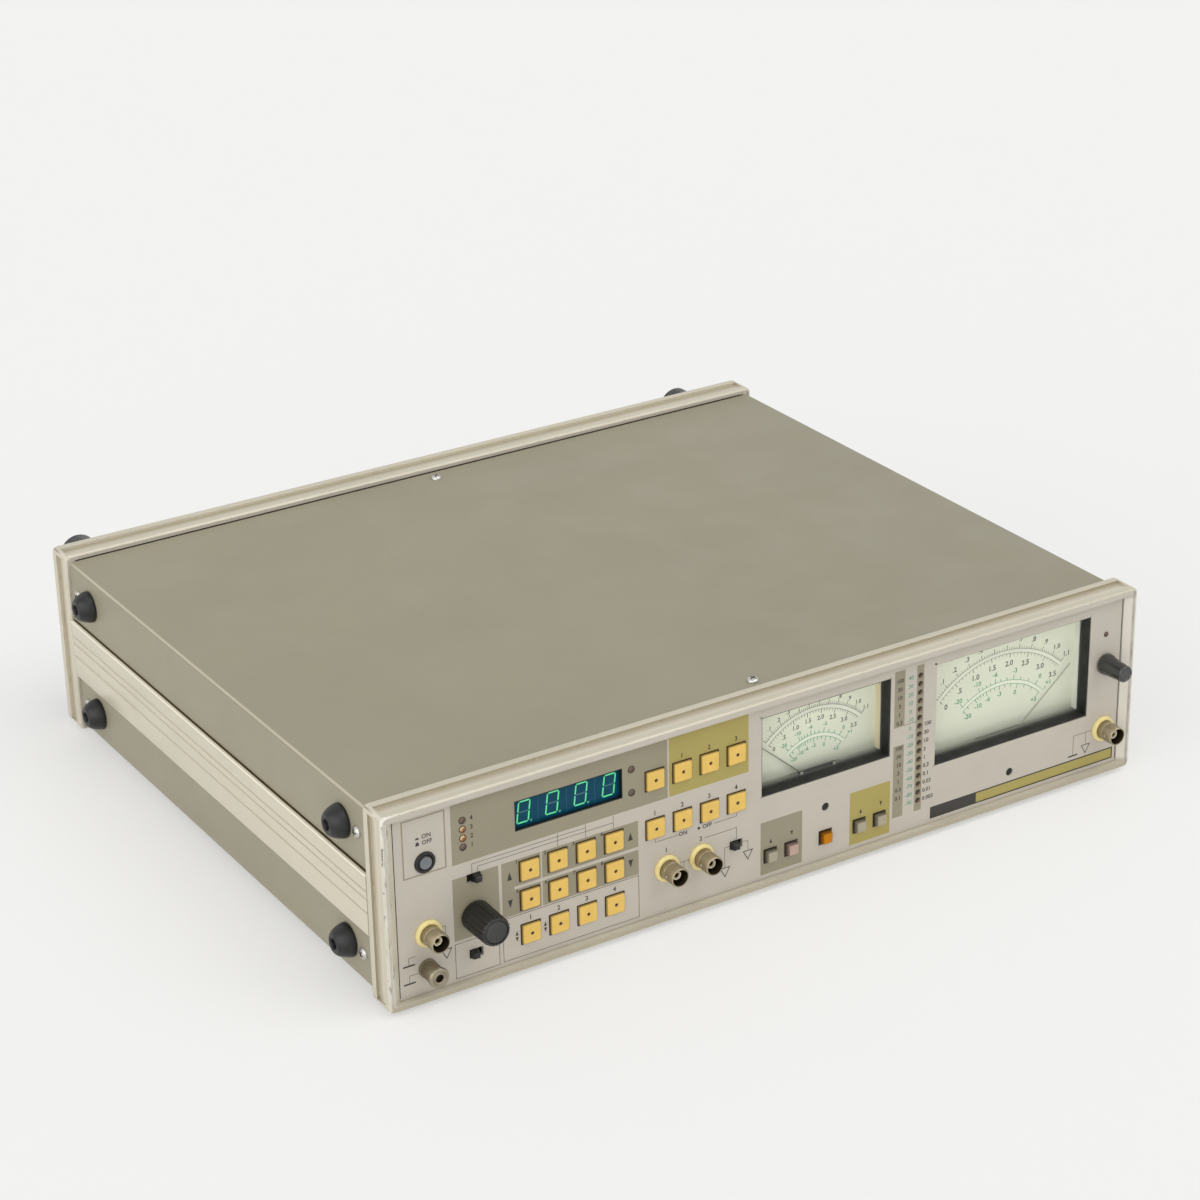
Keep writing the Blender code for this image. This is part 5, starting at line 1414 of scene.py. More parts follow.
class PowerOperator(bpy.types.Operator):
    """Turn the power button and the collar round it"""

    bl_idname = "analyzer.power"
    bl_label = "Power button"

    # Radii of the collar, its mouth, the button and the button's cap
    COLLAR = 5.2
    MOUTH = 3.75
    BUTTON = 3.5
    CAP = 2.95

    def execute(self, context):
        node = "power_button"
        low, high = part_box(node)
        place = middle(node)
        place.y = PANEL_FACE
        face, back = (low.y - PANEL_FACE) / MM, (high.y - PANEL_FACE) / MM
        wall, mouth, button, cap = self.COLLAR, self.MOUTH, self.BUTTON, self.CAP
        black = moulded("control", "black")
        turned_piece("power_collar", place, [
            (wall, 1.5), (wall, -0.5), (wall - 0.3, -0.9), (wall - 0.8, -1.0), (mouth + 0.15, -0.95),
            (mouth, -0.8), (mouth, 1.5), (wall, 1.5)], black, "black_plastic")
        barrel = turned_piece("power_button_barrel", place, [
            (button, back), (button, face + 0.7), (button - 0.3, face + 0.4), (cap, face + 0.4),
            (cap, face + 1.0), (0.0, face + 1.0)], black, "black_plastic", node)
        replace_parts(barrel, node)
        turned_piece("power_button_cap", place, [
            (cap - 0.02, face + 1.1), (cap - 0.02, face + 0.3), (cap - 0.3, face), (cap - 0.8, face),
            (cap - 1.1, face + 0.15), (0.0, face + 0.2)], moulded("control", "button"), "button_grey", node)
        return {"FINISHED"}


class TuningKnobOperator(bpy.types.Operator):
    """Turn the fluted tuning knob with its dished cap"""

    bl_idname = "analyzer.tuning_knob"
    bl_label = "Tuning knob"

    RADIUS = 7.5
    LENGTH = 19.0
    FLUTES = 24
    FLUTE_DEPTH = 0.3

    # How far the cap's rim lies inside the knob's radius
    CAP_INSET = 2.05

    def execute(self, context):
        node = "tuning_knob"
        axis, radius, length = front_middle(node), self.RADIUS, self.LENGTH
        body = turned_piece("tuning_knob_body", axis, [
            (radius - 0.6, length), (radius, length - 0.6), (radius, length - 3.2),
            (radius - 0.1, length - 3.6), (radius, length - 4.2, True), (radius - 0.25, 1.4, True),
            (radius - 0.5, 0.7, True), (radius - 1.1, 0.15), (radius - 1.6, 0.0), (radius - 1.9, 0.2),
            (radius - 2.0, 0.9), (0.0, 0.9)], moulded("control", "black", 0.34), "black_plastic", node,
            steps=self.FLUTES * 8, flutes=self.FLUTES, depth=self.FLUTE_DEPTH)
        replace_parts(body, node)
        rim = radius - self.CAP_INSET
        turned_piece("tuning_knob_cap", axis, [
            (rim, 0.95), (rim, 0.45), (rim - 0.3, 0.25), (rim - 1.5, 0.5), (1.5, 0.72), (0.0, 0.75)],
            moulded("control", "cap", 0.3), "black_plastic", node)
        return {"FINISHED"}


class ReferenceKnobOperator(bpy.types.Operator):
    """Turn the skirted reference knob"""

    bl_idname = "analyzer.reference_knob"
    bl_label = "Reference knob"

    # Radii of the skirt, of the grip's root and of its tip
    SKIRT = 5.5
    GRIP = 4.9
    TIP = 4.3
    LENGTH = 15.6
    FLUTES = 20
    FLUTE_DEPTH = 0.12

    def execute(self, context):
        node = "reference_knob"
        skirt, grip, tip, length = self.SKIRT, self.GRIP, self.TIP, self.LENGTH
        body = turned_piece("reference_knob_body", front_middle(node), [
            (skirt - 0.2, length), (skirt, length - 0.3), (skirt - 0.05, length - 2.2),
            (skirt - 0.3, length - 3.0), (grip + 0.1, length - 3.6), (grip, length - 4.2, True),
            (tip + 0.05, 1.4, True), (tip - 0.15, 0.5), (tip - 0.6, 0.05), (tip - 1.0, 0.0),
            (tip - 1.2, 0.15), (tip - 1.4, 0.4), (0.0, 0.45)], moulded("control", "cap", 0.2, 0.8),
            "black_plastic", node, steps=self.FLUTES * 6, flutes=self.FLUTES, depth=self.FLUTE_DEPTH)
        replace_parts(body, node)
        dress("reference_shaft", plated("case", "steel"))
        return {"FINISHED"}


class SocketsOperator(bpy.types.Operator):
    """Turn the four coaxial sockets and the ground terminal"""

    bl_idname = "analyzer.sockets"
    bl_label = "Sockets and terminal"

    # Radii of a socket's shell, bore and insulating ring, and how far its front stands off the panel
    SHELL = 4.8
    BORE = 4.05
    RING = 6.6
    REACH = 12.0

    # How far behind the front and inside the shell the lugs start, and their (radius, height) profile
    LUG_BACK = 4.5
    LUG_ROOT = 0.3
    LUG = ((1.0, 0.0), (1.0, 0.9), (0.8, 1.15), (0.0, 1.2))

    # Tarnish starts this far behind the front
    TARNISH = 0.3

    # Insulator and middle contact as (radius, distance behind the front)
    INSULATOR = ((2.35, 8.6), (2.35, 3.3), (2.15, 3.05), (1.9, 3.0), (1.55, 3.0), (1.45, 3.3), (1.45, 7.0),
                 (0.0, 7.0))
    CONTACT = ((1.3, 7.1), (1.3, 4.0), (1.15, 3.8), (0.85, 3.8), (0.75, 4.0), (0.75, 6.5), (0.0, 6.5))

    # The terminal's fluted post in front of its root, its polished face and its bore
    POST_ROOT = 4.2
    POST = ((4.2, 11.4), (4.6, 11.3), (4.6, 10.6), (4.0, 10.4), (4.0, 10.0), (4.4, 9.6, True),
            (4.4, 2.9, True), (4.1, 2.6), (4.1, 2.3), (4.0, 2.2), (0.0, 2.2))
    FLUTES = 40
    FLUTE_DEPTH = 0.12
    POST_FACE = ((4.6, 2.3), (5.0, 1.9), (5.0, 0.8), (4.7, 0.3), (4.2, 0.1), (3.4, 0.1), (3.2, 0.35),
                 (3.0, 0.35), (2.8, 0.05), (2.3, 0.0), (2.0, 0.25), (1.95, 0.8), (1.95, 2.1), (1.95, 2.3),
                 (4.6, 2.3))
    POST_BORE = ((2.0, 2.25), (2.0, 0.9), (1.9, 0.9), (1.9, 2.15), (0.0, 2.15))

    def shell(self, node, axis):
        """A bayonet socket's plated shell with its two lugs, tarnished inside."""
        back = (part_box(node)[1].y - axis.y) / MM
        shell, bore, reach = self.SHELL, self.BORE, self.REACH
        metal = bmesh.new()
        turned(metal, axis, "y", [
            (shell - 0.2, back), (shell - 0.2, reach), (shell, reach - 0.3), (shell, 7.2),
            (shell - 0.25, 7.0), (shell - 0.25, 6.6), (shell, 6.4), (shell, 0.5), (shell - 0.3, 0.1),
            (shell - 0.5, 0.0), (bore + 0.1, 0.0), (bore, 0.25), (bore, 8.5), (0.0, 8.5)])
        for way in (-1, 1):
            root = axis + Vector((way * (shell - self.LUG_ROOT), self.LUG_BACK, 0.0)) * MM
            turned(metal, root, "x", [(radius, way * rise) for radius, rise in self.LUG], steps=20)
        for face in metal.faces:
            off = (face.calc_center_median() - axis) / MM
            inside = off.y > self.TARNISH and math.hypot(off.x, off.z) < bore
            face.material_index = 1 if inside else 0
        finishes = [plated("control", "nickel", 0.46), plated("control", "bore", 0.5)]
        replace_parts(new_piece(f"{node}_shell", metal, finishes, "nickel"), node)

    def socket(self, node):
        """A shell with its insulating ring, insulator and contact."""
        axis = front_middle(node)
        self.shell(node, axis)
        shell, ring, reach = self.SHELL, self.RING, self.REACH
        turned_piece(f"{node}_ring", axis, [
            (shell + 0.1, reach - 0.1), (ring, reach - 0.1), (ring + 0.1, reach - 0.6),
            (ring - 0.1, reach - 1.6), (ring - 0.6, reach - 2.1), (shell + 0.3, reach - 2.1),
            (shell + 0.05, reach - 1.8), (shell + 0.1, reach - 0.1)],
            moulded("control", "ring", 0.45), "yellow_key")
        turned_piece(f"{node}_insulator", axis, self.INSULATOR, moulded("control", "cream", 0.45),
                     "yellow_key", steps=32)
        turned_piece(f"{node}_contact", axis, self.CONTACT, plated("control", "brass", 0.25), "nickel",
                     steps=24)

    def terminal(self, node):
        """The ground terminal's fluted post with its polished face and its bore."""
        axis = front_middle(node)
        back = (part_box(node)[1].y - axis.y) / MM
        post = turned_piece("ground_terminal_post", axis, [(self.POST_ROOT, back), *self.POST],
                            plated("control", "terminal", 0.46), "nickel", steps=self.FLUTES * 4,
                            flutes=self.FLUTES, depth=self.FLUTE_DEPTH)
        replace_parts(post, node)
        turned_piece("ground_terminal_face", axis, self.POST_FACE, plated("control", "silver", 0.4), "nickel")
        turned_piece("ground_terminal_bore", axis, self.POST_BORE, plated("control", "bore", 0.5), "nickel",
                     steps=32)

    def execute(self, context):
        for node in SOCKETS:
            self.socket(node)
        self.terminal("ground_terminal")
        return {"FINISHED"}


# Meters, display and lamps

class MetersOperator(bpy.types.Operator):
    """Print both dials, line the meters and clear their windows"""

    bl_idname = "analyzer.meters"
    bl_label = "Meters"

    # Each dial's lining, radii of its number and decibel scales, and height of its figures
    DIALS = {"level_meter": ("cream", 39.3, 24.9, 2.1), "ratio_meter": ("white", 54.6, 38.1, 2.6)}

    # Readings where the sweep ends and the decibel scales start, their zeros, and the number scales' step
    FULL = 1.1
    DECIBEL_START = 0.075
    DECIBEL_ZERO = 1.0
    POWER_ZERO = 0.775
    ROOT_TEN = math.sqrt(10)

    # Gap between two arcs and their line, and what the pale band between them leaves free
    NUMBER_ARCS = (2.05, 0.22)
    DECIBEL_ARCS = (1.95, 0.28)
    BAND_FREE = 0.2

    # Length and width of the ticks with a figure and of the others
    OUTER_TICKS = ((2.4, 0.34), (1.3, 0.22))
    INNER_TICKS = ((2.3, 0.34), (1.3, 0.22))
    DECIBEL_TICKS = ((2.5, 0.36), (1.6, 0.36))

    # Decibels with a figure, and sizes of the decibel and inner figures beside the outer ones
    DECIBEL_LABELS = (-20, -10, -6, -3, 0)
    DECIBEL_SIZE = 0.95
    INNER_SIZE = 1.08

    # Thickness of the card, half thickness of the lining, and what they leave free at their sides and feet
    CARD = 0.3
    LINING = 0.25
    FREE = 0.2
    FOOT = 0.1

    # Half width of the slot in the floor, and how far its two sides lie in front of the dial
    WELL = 15.2
    SLOT = (1.65, 0.75)

    # Width of the black collar, and of the panel's edge over its left and its head
    RIM = 1.4 * MM
    REVEALS = {"level_meter": (0.75, 0.75), "ratio_meter": (1.15, 0.9)}

    # Half widths and inks of the needles
    POINTERS = {"level_meter": (0.3, "needle"), "ratio_meter": (0.22, "fine_needle")}

    # Screws right of the level meter's middle, and screws that set the needles to zero
    HUMP_SCREWS = (-9.3, 9.7)
    ADJUSTERS = ((238.95, 31.6), (350.95, 17.2))

    def turn(self, value):
        """Where a reading stands on the sweep."""
        half = look("meter").half_sweep
        return -half + 2 * half * value / self.FULL

    def twin_arcs(self, marks, bands, pivot, outer, first, gap, line):
        """Two arcs from a first reading to the end of the sweep, with a pale band between. Gives the inner
        one's radius."""
        start, end = self.turn(first), self.turn(self.FULL)
        for radius in (outer, outer - gap):
            marks.arc(pivot, radius, start, end, line)
        bands.arc(pivot, outer - gap / 2, start, end, gap - self.BAND_FREE)
        return outer - gap

    def number_scales(self, marks, bands, pivot, outer, text):
        """A scale to 1.1 outside and one to 3.5 inside, with a figure at every fifth tick."""
        inner = self.twin_arcs(marks, bands, pivot, outer, 0.0, *self.NUMBER_ARCS)
        off = 2 * text
        shift = 0.2
        for i in range(56):
            length, width = self.OUTER_TICKS[i % 5 > 0]
            marks.tick(pivot, outer, outer + length, self.turn(i * 0.02), width)
        for i in range(12):
            label = str(i) if i == 0 else f".{i}" if i < 10 else f"{i / 10:.1f}"
            marks.figures_round(pivot, outer + off - shift, self.turn(i / 10), label, text)
        for i in range(36):
            value = i * 0.1 / self.ROOT_TEN
            if value <= self.FULL:
                length, width = self.INNER_TICKS[i % 5 > 0]
                marks.tick(pivot, inner - length, inner, self.turn(value), width)
        for i in range(8):
            label = "0" if i == 0 else ".5" if i == 1 else f"{i / 2:.1f}"
            turn = self.turn(i / 2 / self.ROOT_TEN)
            marks.figures_round(pivot, inner - off - shift, turn, label, text * self.INNER_SIZE)

    def decibel_scales(self, marks, bands, pivot, outer, text):
        """Two decibel scales back to back."""
        inner = self.twin_arcs(marks, bands, pivot, outer, self.DECIBEL_START, *self.DECIBEL_ARCS)
        off = 2.4 + text * 0.95
        for zero, base, way, top in ((self.DECIBEL_ZERO, outer, 1, 1), (self.POWER_ZERO, inner, -1, 3)):
            labels = {level: str(level) for level in self.DECIBEL_LABELS}
            labels[top] = f"+{top}"
            for level in range(-20, top + 1):
                if level < -10 and level % 5:
                    continue
                turn = self.turn(zero * 10 ** (level / 20))
                length, width = self.DECIBEL_TICKS[level not in labels]
                marks.tick(pivot, *sorted((base, base + way * length)), turn, width)
                if level in labels:
                    marks.figures_round(pivot, base + way * off, turn, labels[level], text)

    def meter(self, name, lining, outer, decibel, text):
        """One meter's card, scales, lining, window and needle."""
        low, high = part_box(f"{name}_window")
        axis = self.axis(name)
        pivot, dial = ((axis.x - FRAME_LOW.x) / MM, (axis.z - FRAME_LOW.z) / MM), axis.y
        free, foot, thick, seat, lift = self.FREE * MM, self.FOOT * MM, self.CARD * MM, 0.05 * MM, 0.01 * MM
        front = high.y + free
        card = bmesh.new()
        block(card, (low.x + free, dial - thick, low.z + foot), (high.x - free, dial + seat, high.z - free))
        # The dial card gets painted shade at its foot and a painted glow at its head
        new_piece(f"{name}_dial_card", card, [dial_card("dial", low.z - self.RIM, high.z)], "panel_paint")
        face = dial - thick - lift
        ink_marks, green_marks, bands = Print(face), Print(face), Print(face)
        self.number_scales(ink_marks, bands, pivot, outer, text)
        self.decibel_scales(green_marks, bands, pivot, decibel, text * self.DECIBEL_SIZE)
        ink_marks.piece(f"{name}_dial_figures", ink("meter", "ink"), "panel_paint")
        green_marks.piece(f"{name}_dial_decibels", ink("meter", "green"), "panel_paint")
        bands.piece(f"{name}_dial_bands", dial_card("band"), "panel_paint")
        self.walls(name, low, high, front, dial, lining)
        self.floor(name, low, high, front, dial)
        self.reveal(name, low, high)
        dress(f"{name}_window", clear_glass())
        dress(f"{name}_case", moulded("meter", "collar", 0.6))
        self.pointer(name, *self.POINTERS[name])

    def walls(self, name, low, high, front, dial, lining):
        """A pale lining at both sides and over the head of the dial."""
        thick = self.LINING * MM
        shape = bmesh.new()
        for x in (low.x, high.x):
            block(shape, (x - thick, front, low.z + self.FOOT * MM), (x + thick, dial, high.z))
        block(shape, (low.x, front, high.z - thick), (high.x, dial, high.z + thick))
        new_piece(f"{name}_lining", shape, [dial_card(lining)], "panel_paint")

    def floor(self, name, low, high, front, dial):
        """A shaded floor between the window and the dial, slotted where the needle swings."""
        centre, well, thick = (low.x + high.x) / 2, self.WELL * MM, self.LINING * MM
        slot = [dial - lift * MM for lift in self.SLOT]
        shape = bmesh.new()
        for x0, x1, y0, y1 in ((low.x, centre - well, front, dial), (centre + well, high.x, front, dial),
                               (centre - well, centre + well, front, slot[0]),
                               (centre - well, centre + well, slot[1], dial)):
            block(shape, (x0, y0, low.z - thick), (x1, y1, low.z + thick))
        new_piece(f"{name}_floor", shape, [dial_floor(front, dial)], "panel_paint")

    def reveal(self, name, low, high):
        """A painted edge of the panel over the left and the head of the black collar."""
        left, head = self.REVEALS[name]
        x0, x1, z0, z1 = low.x - self.RIM, high.x + self.RIM, low.z - self.RIM, high.z + self.RIM
        front, back = PANEL_FACE + 0.02 * MM, PANEL_FACE + 0.16 * MM
        over, free = 0.1 * MM, 0.3 * MM
        shape = bmesh.new()
        block(shape, (x0 - over, front, z0 + free), (x0 + left * MM, back, z1))
        block(shape, (x0, front, z1 - head * MM), (x1 - free, back, z1 + over))
        new_piece(f"{name}_reveal", shape, [panel_paint("face")], "panel_paint", smooth=False)

    def pointer(self, name, half, finish):
        """A thin needle with its hub and tail."""
        node = f"{name}_needle"
        low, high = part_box(node)
        pivot = self.axis(name)
        lean = 1 if high.x - pivot.x > pivot.x - low.x else -1
        tip = Vector((high.x if lean > 0 else low.x, 0.0, high.z)) - Vector((pivot.x, 0.0, pivot.z))
        run = tip.normalized() * MM
        side = Vector((-run.z, 0.0, run.x))
        tail, wide, point = run * -6.0, side * 1.4, side * 0.14
        outline = [tail + wide, tail - wide, -side * half, tip - point, tip + point, side * half]
        shape = bmesh.new()
        loft(shape, [[pivot + at - Vector((0.0, lift * MM, 0.0)) for at in outline] for lift in (1.0, 1.4)])
        turned(shape, pivot, "y", [(2.2, -0.9), (2.2, -1.6), (1.8, -1.9), (0.7, -1.9), (0.5, -2.4),
                                   (0.0, -2.5)], steps=24)
        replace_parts(new_piece(f"{name}_pointer", shape, [ink("meter", finish)], "needle_paint", node), node)

    def axis(self, name):
        """Where the axis that a meter's needle swings on meets the dial."""
        joint = next(joint for joint in frame["joints"] if joint["name"] == f"{name}_swing")
        return Vector(joint["pos_m"])

    def execute(self, context):
        for name, dial in self.DIALS.items():
            self.meter(name, *dial)
        low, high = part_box("level_meter_window")
        centre = (low.x + high.x) / 2
        screws = bmesh.new()
        for offset in self.HUMP_SCREWS:
            place = (centre + offset * MM, high.y + 0.35 * MM, low.z + 0.4 * MM)
            turned(screws, place, "y", [(0.9, 0.0), (0.9, -0.12), (0.6, -0.26), (0.0, -0.3)], steps=20)
        new_piece("level_meter_screws", screws, [plated("case", "steel")], "nickel")
        adjusters = bmesh.new()
        for x, z in self.ADJUSTERS:
            turned(adjusters, panel_point(x, z), "y", [(2.1, 2.0), (2.1, 0.6), (1.8, 0.35), (1.0, 0.25),
                                                       (0.8, 0.6), (0.0, 0.65)], steps=32)
        new_piece("meter_adjusters", adjusters, [moulded("control", "black", 0.42)], "black_plastic")
        return {"FINISHED"}


class DisplayOperator(bpy.types.Operator):
    """Light the four digits behind the dark filter"""

    bl_idname = "analyzer.display"
    bl_label = "Display"

    # Number of digits, column of the first, and their pitch and row
    DIGITS = 4
    FIRST = 74.4
    PITCH = 15.0
    ROW = 78.05

    # Gap at the ends of a segment, and what a digit leaves free above and below
    GAP = 0.2
    FREE = 0.4

    # The opening as (left, right, foot, head), and the width of its lining
    OPENING = (68.4, 125.2, 70.5, 85.7)
    BEZEL = 0.3

    def segment(self, marks, digit, start, end):
        """One bar of a digit with pointed ends, between two places in the digit's own box."""
        lamp = look("lamp")
        half = lamp.stroke / MM / 2
        run = Vector((end[0] - start[0], end[1] - start[1])).normalized()
        side = Vector((-run.y, run.x)) * half
        start, end = Vector(start) + run * self.GAP, Vector(end) - run * self.GAP
        corners = [start, start + run * half + side, end - run * half + side, end, end - run * half - side,
                   start + run * half - side]
        lean = math.tan(lamp.slant)
        marks.patch([(digit + corner.x + corner.y * lean, self.ROW + corner.y) for corner in corners])

    def bezel(self):
        """A black lining round the display's opening."""
        left, right, foot, head = self.OPENING
        wall, over = self.BEZEL, 0.05
        front, back = Vector((0, 0.02, 0)) * MM, Vector((0, 2.2, 0)) * MM
        shape = bmesh.new()
        for x0, x1, z0, z1 in ((left, right, foot, foot + wall), (left, right, head - wall, head),
                               (left, left + wall, foot, head), (right - wall, right, foot, head)):
            block(shape, panel_point(x0 - over, z0 - over) + front, panel_point(x1 + over, z1 + over) + back)
        new_piece("display_lining", shape, [moulded("control", "black", 0.42)], "black_plastic")

    def execute(self, context):
        lamp = look("lamp")
        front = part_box("display_window")[0].y
        dress("display_window", filter_plastic())
        lit, resting, points = Print(front), Print(front), Print(front)
        right, head = lamp.digit_width / MM / 2, lamp.digit_height / MM / 2 - self.FREE
        ring = [(-right, head), (right, head), (right, 0.0), (right, -head), (-right, -head), (-right, 0.0)]
        aside, below, radius = 0.9, 0.2, 0.6
        rise, width = 7.0, 0.12
        for i in range(self.DIGITS):
            digit = self.FIRST + self.PITCH * i
            for start, end in zip(ring, ring[1:] + ring[:1]):
                self.segment(lit, digit, start, end)
            self.segment(resting, digit, (-right, 0.0), (right, 0.0))
            if i < self.DIGITS - 1:
                points.disc(digit + right + aside, self.ROW - head - below, radius)
                seam = digit + self.PITCH / 2
                resting.line([(seam, self.ROW - rise), (seam, self.ROW + rise)], width)
        lit.piece("display_lit_segments", glowing("digit", 0.52), "display_filter")
        points.piece("display_points", ink("lamp", "point"), "display_filter")
        resting.piece("display_resting_segments", ink("lamp", "resting"), "display_filter")
        self.bezel()
        return {"FINISHED"}


class LampsOperator(bpy.types.Operator):
    """Set domed lenses over the lamps of the panel, two of them lit"""

    bl_idname = "analyzer.lamps"
    bl_label = "Lamps"

    # Radii of a domed lens, of a lens in the range column and of the hole round that one
    RADIUS = 1.62
    SUNK_RADIUS = 1.45
    HOLE = 1.85

    # Columns and numbers of lamps, bands that are lit, rows of the unit lamps, and a lamp as (x, z, radius)
    RANGE_COLUMN = 294.1
    RANGE_LAMPS = 16
    BAND_COLUMN = 41.8
    BAND_LAMPS = 4
    LIT_BANDS = (1, 2)
    UNIT_COLUMN = 130.1
    UNIT_ROWS = (83.7, 71.8)
    MARKER = (409.3, 76.8, 1.2)

    # Lenses as (share of the radius, distance behind the panel's face)
    DOME = ((1.0, 1.2), (1.0, -0.15), (0.88, -0.5), (0.6, -0.75), (0.25, -0.86), (0.0, -0.88))
    LOW_DOME = ((1.0, 1.2), (1.0, -0.14), (0.85, -0.56), (0.55, -0.66), (0.25, -0.71), (0.0, -0.72))
    STEPS = 24

    # How far a rim reaches inside and outside its lens, and its lip. A sleeve's reach inside, and its lip
    RIM = (0.25, 0.2, 0.36)
    SLEEVE = (0.1, 0.1)

    # Where light comes from, and how far towards it a lens's near side starts and its far side ends
    LIGHT = Vector((-0.6, 0.0, 0.8))
    NEAR_SIDE = 0.5
    FAR_SIDE = -0.1

    def lens(self, shape, x, z, radius, rings):
        """A lens with its own finish towards and away from the light."""
        before = len(shape.faces)
        centre = panel_point(x, z)
        turned(shape, centre, "y", [(radius * share, distance) for share, distance in rings], self.STEPS)
        shape.faces.ensure_lookup_table()
        for face in shape.faces[before:]:
            lean = (face.calc_center_median() - centre).dot(self.LIGHT) / (radius * MM)
            face.material_index = 1 if lean > self.NEAR_SIDE else 2 if lean < self.FAR_SIDE else 0

    def ring(self, shape, x, z, inside, outside, lip):
        """A ring between a lens and its hole, with a lip that far in front of the panel."""
        turned(shape, panel_point(x, z), "y", [(inside, 0.8), (outside, 0.8), (outside, -0.02),
                                               (outside - 0.1, -lip * 0.8), (inside, -lip), (inside, 0.8)],
               self.STEPS)

    def execute(self, context):
        unlit, lit, rims = bmesh.new(), bmesh.new(), bmesh.new()
        places = [(unlit, self.UNIT_COLUMN, z, self.RADIUS) for z in self.UNIT_ROWS]
        for i in range(self.BAND_LAMPS):
            shape = lit if i in self.LIT_BANDS else unlit
            places.append((shape, self.BAND_COLUMN, BAND_TOP - BAND_PITCH * i, self.RADIUS))
        places.append((unlit, *self.MARKER))
        inside, outside, lip = self.RIM
        for shape, x, z, radius in places:
            self.lens(shape, x, z, radius, self.DOME)
            self.ring(rims, x, z, radius - inside, radius + outside, lip)
        sunk, sleeves = bmesh.new(), bmesh.new()
        inside, lip = self.SLEEVE
        for i in range(self.RANGE_LAMPS):
            x, z, radius = self.RANGE_COLUMN, RANGE_TOP - RANGE_PITCH * i, self.SUNK_RADIUS
            self.lens(sunk, x, z, radius, self.LOW_DOME)
            self.ring(sleeves, x, z, radius - inside, self.HOLE, lip)
        dull = [moulded("lamp", name, 0.25) for name in ("unlit", "unlit_glint", "unlit_shade")]
        new_piece("panel_lamps_unlit", unlit, dull, "orange_key")
        bright = [glowing("lit", 0.06), glowing("lit_glint", 0.16), glowing("lit_shade", 0.02)]
        new_piece("panel_lamps_lit", lit, bright, "orange_key")
        new_piece("panel_lamp_rims", rims, [moulded("lamp", "rim", 0.4)], "black_plastic")
        deep = [moulded("lamp", name, 0.25) for name in ("sunk", "sunk_shade", "sunk_glint")]
        new_piece("range_lamps", sunk, deep, "orange_key")
        new_piece("range_lamp_sleeves", sleeves, [panel_paint("khaki")], "panel_paint")
        return {"FINISHED"}


# Rear and inside

class RearOperator(bpy.types.Operator):
    """Paint the rear panel, the mains inlet and what lies inside"""

    bl_idname = "analyzer.rear"
    bl_label = "Rear and inside"

    # Places of the inlet's pins from its middle, and their two corners from the inlet's back
    PINS = ((-7.0, -2.0), (0.0, 2.0), (7.0, -2.0))
    PIN_LOW = Vector((-1.1, -15.9, -2.1)) * MM
    PIN_HIGH = Vector((1.1, -1.9, 2.1)) * MM

    # Parts on the front board start this far in front of its back
    BOARD = 1.7 * MM

    def execute(self, context):
        dress("rear_panel", cover_paint())
        softened("mains_inlet", "mains_inlet_moulding", look("control").key_edge,
                 [moulded("control", "black", 0.4)], "black_plastic")
        centre, back = middle("mains_inlet"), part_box("mains_inlet")[1].y
        pins = bmesh.new()
        for x, z in self.PINS:
            place = Vector((centre.x + x * MM, back, centre.z + z * MM))
            block(pins, place + self.PIN_LOW, place + self.PIN_HIGH)
        new_piece("mains_inlet_pins", pins, [plated("case", "steel")], "nickel")
        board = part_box("front_circuit_board")[1].y - self.BOARD
        dress("front_circuit_board", board_laminate(board))
        dress("main_circuit_board", board_laminate())
        dress("power_transformer", transformer_steel())
        return {"FINISHED"}


# Stage

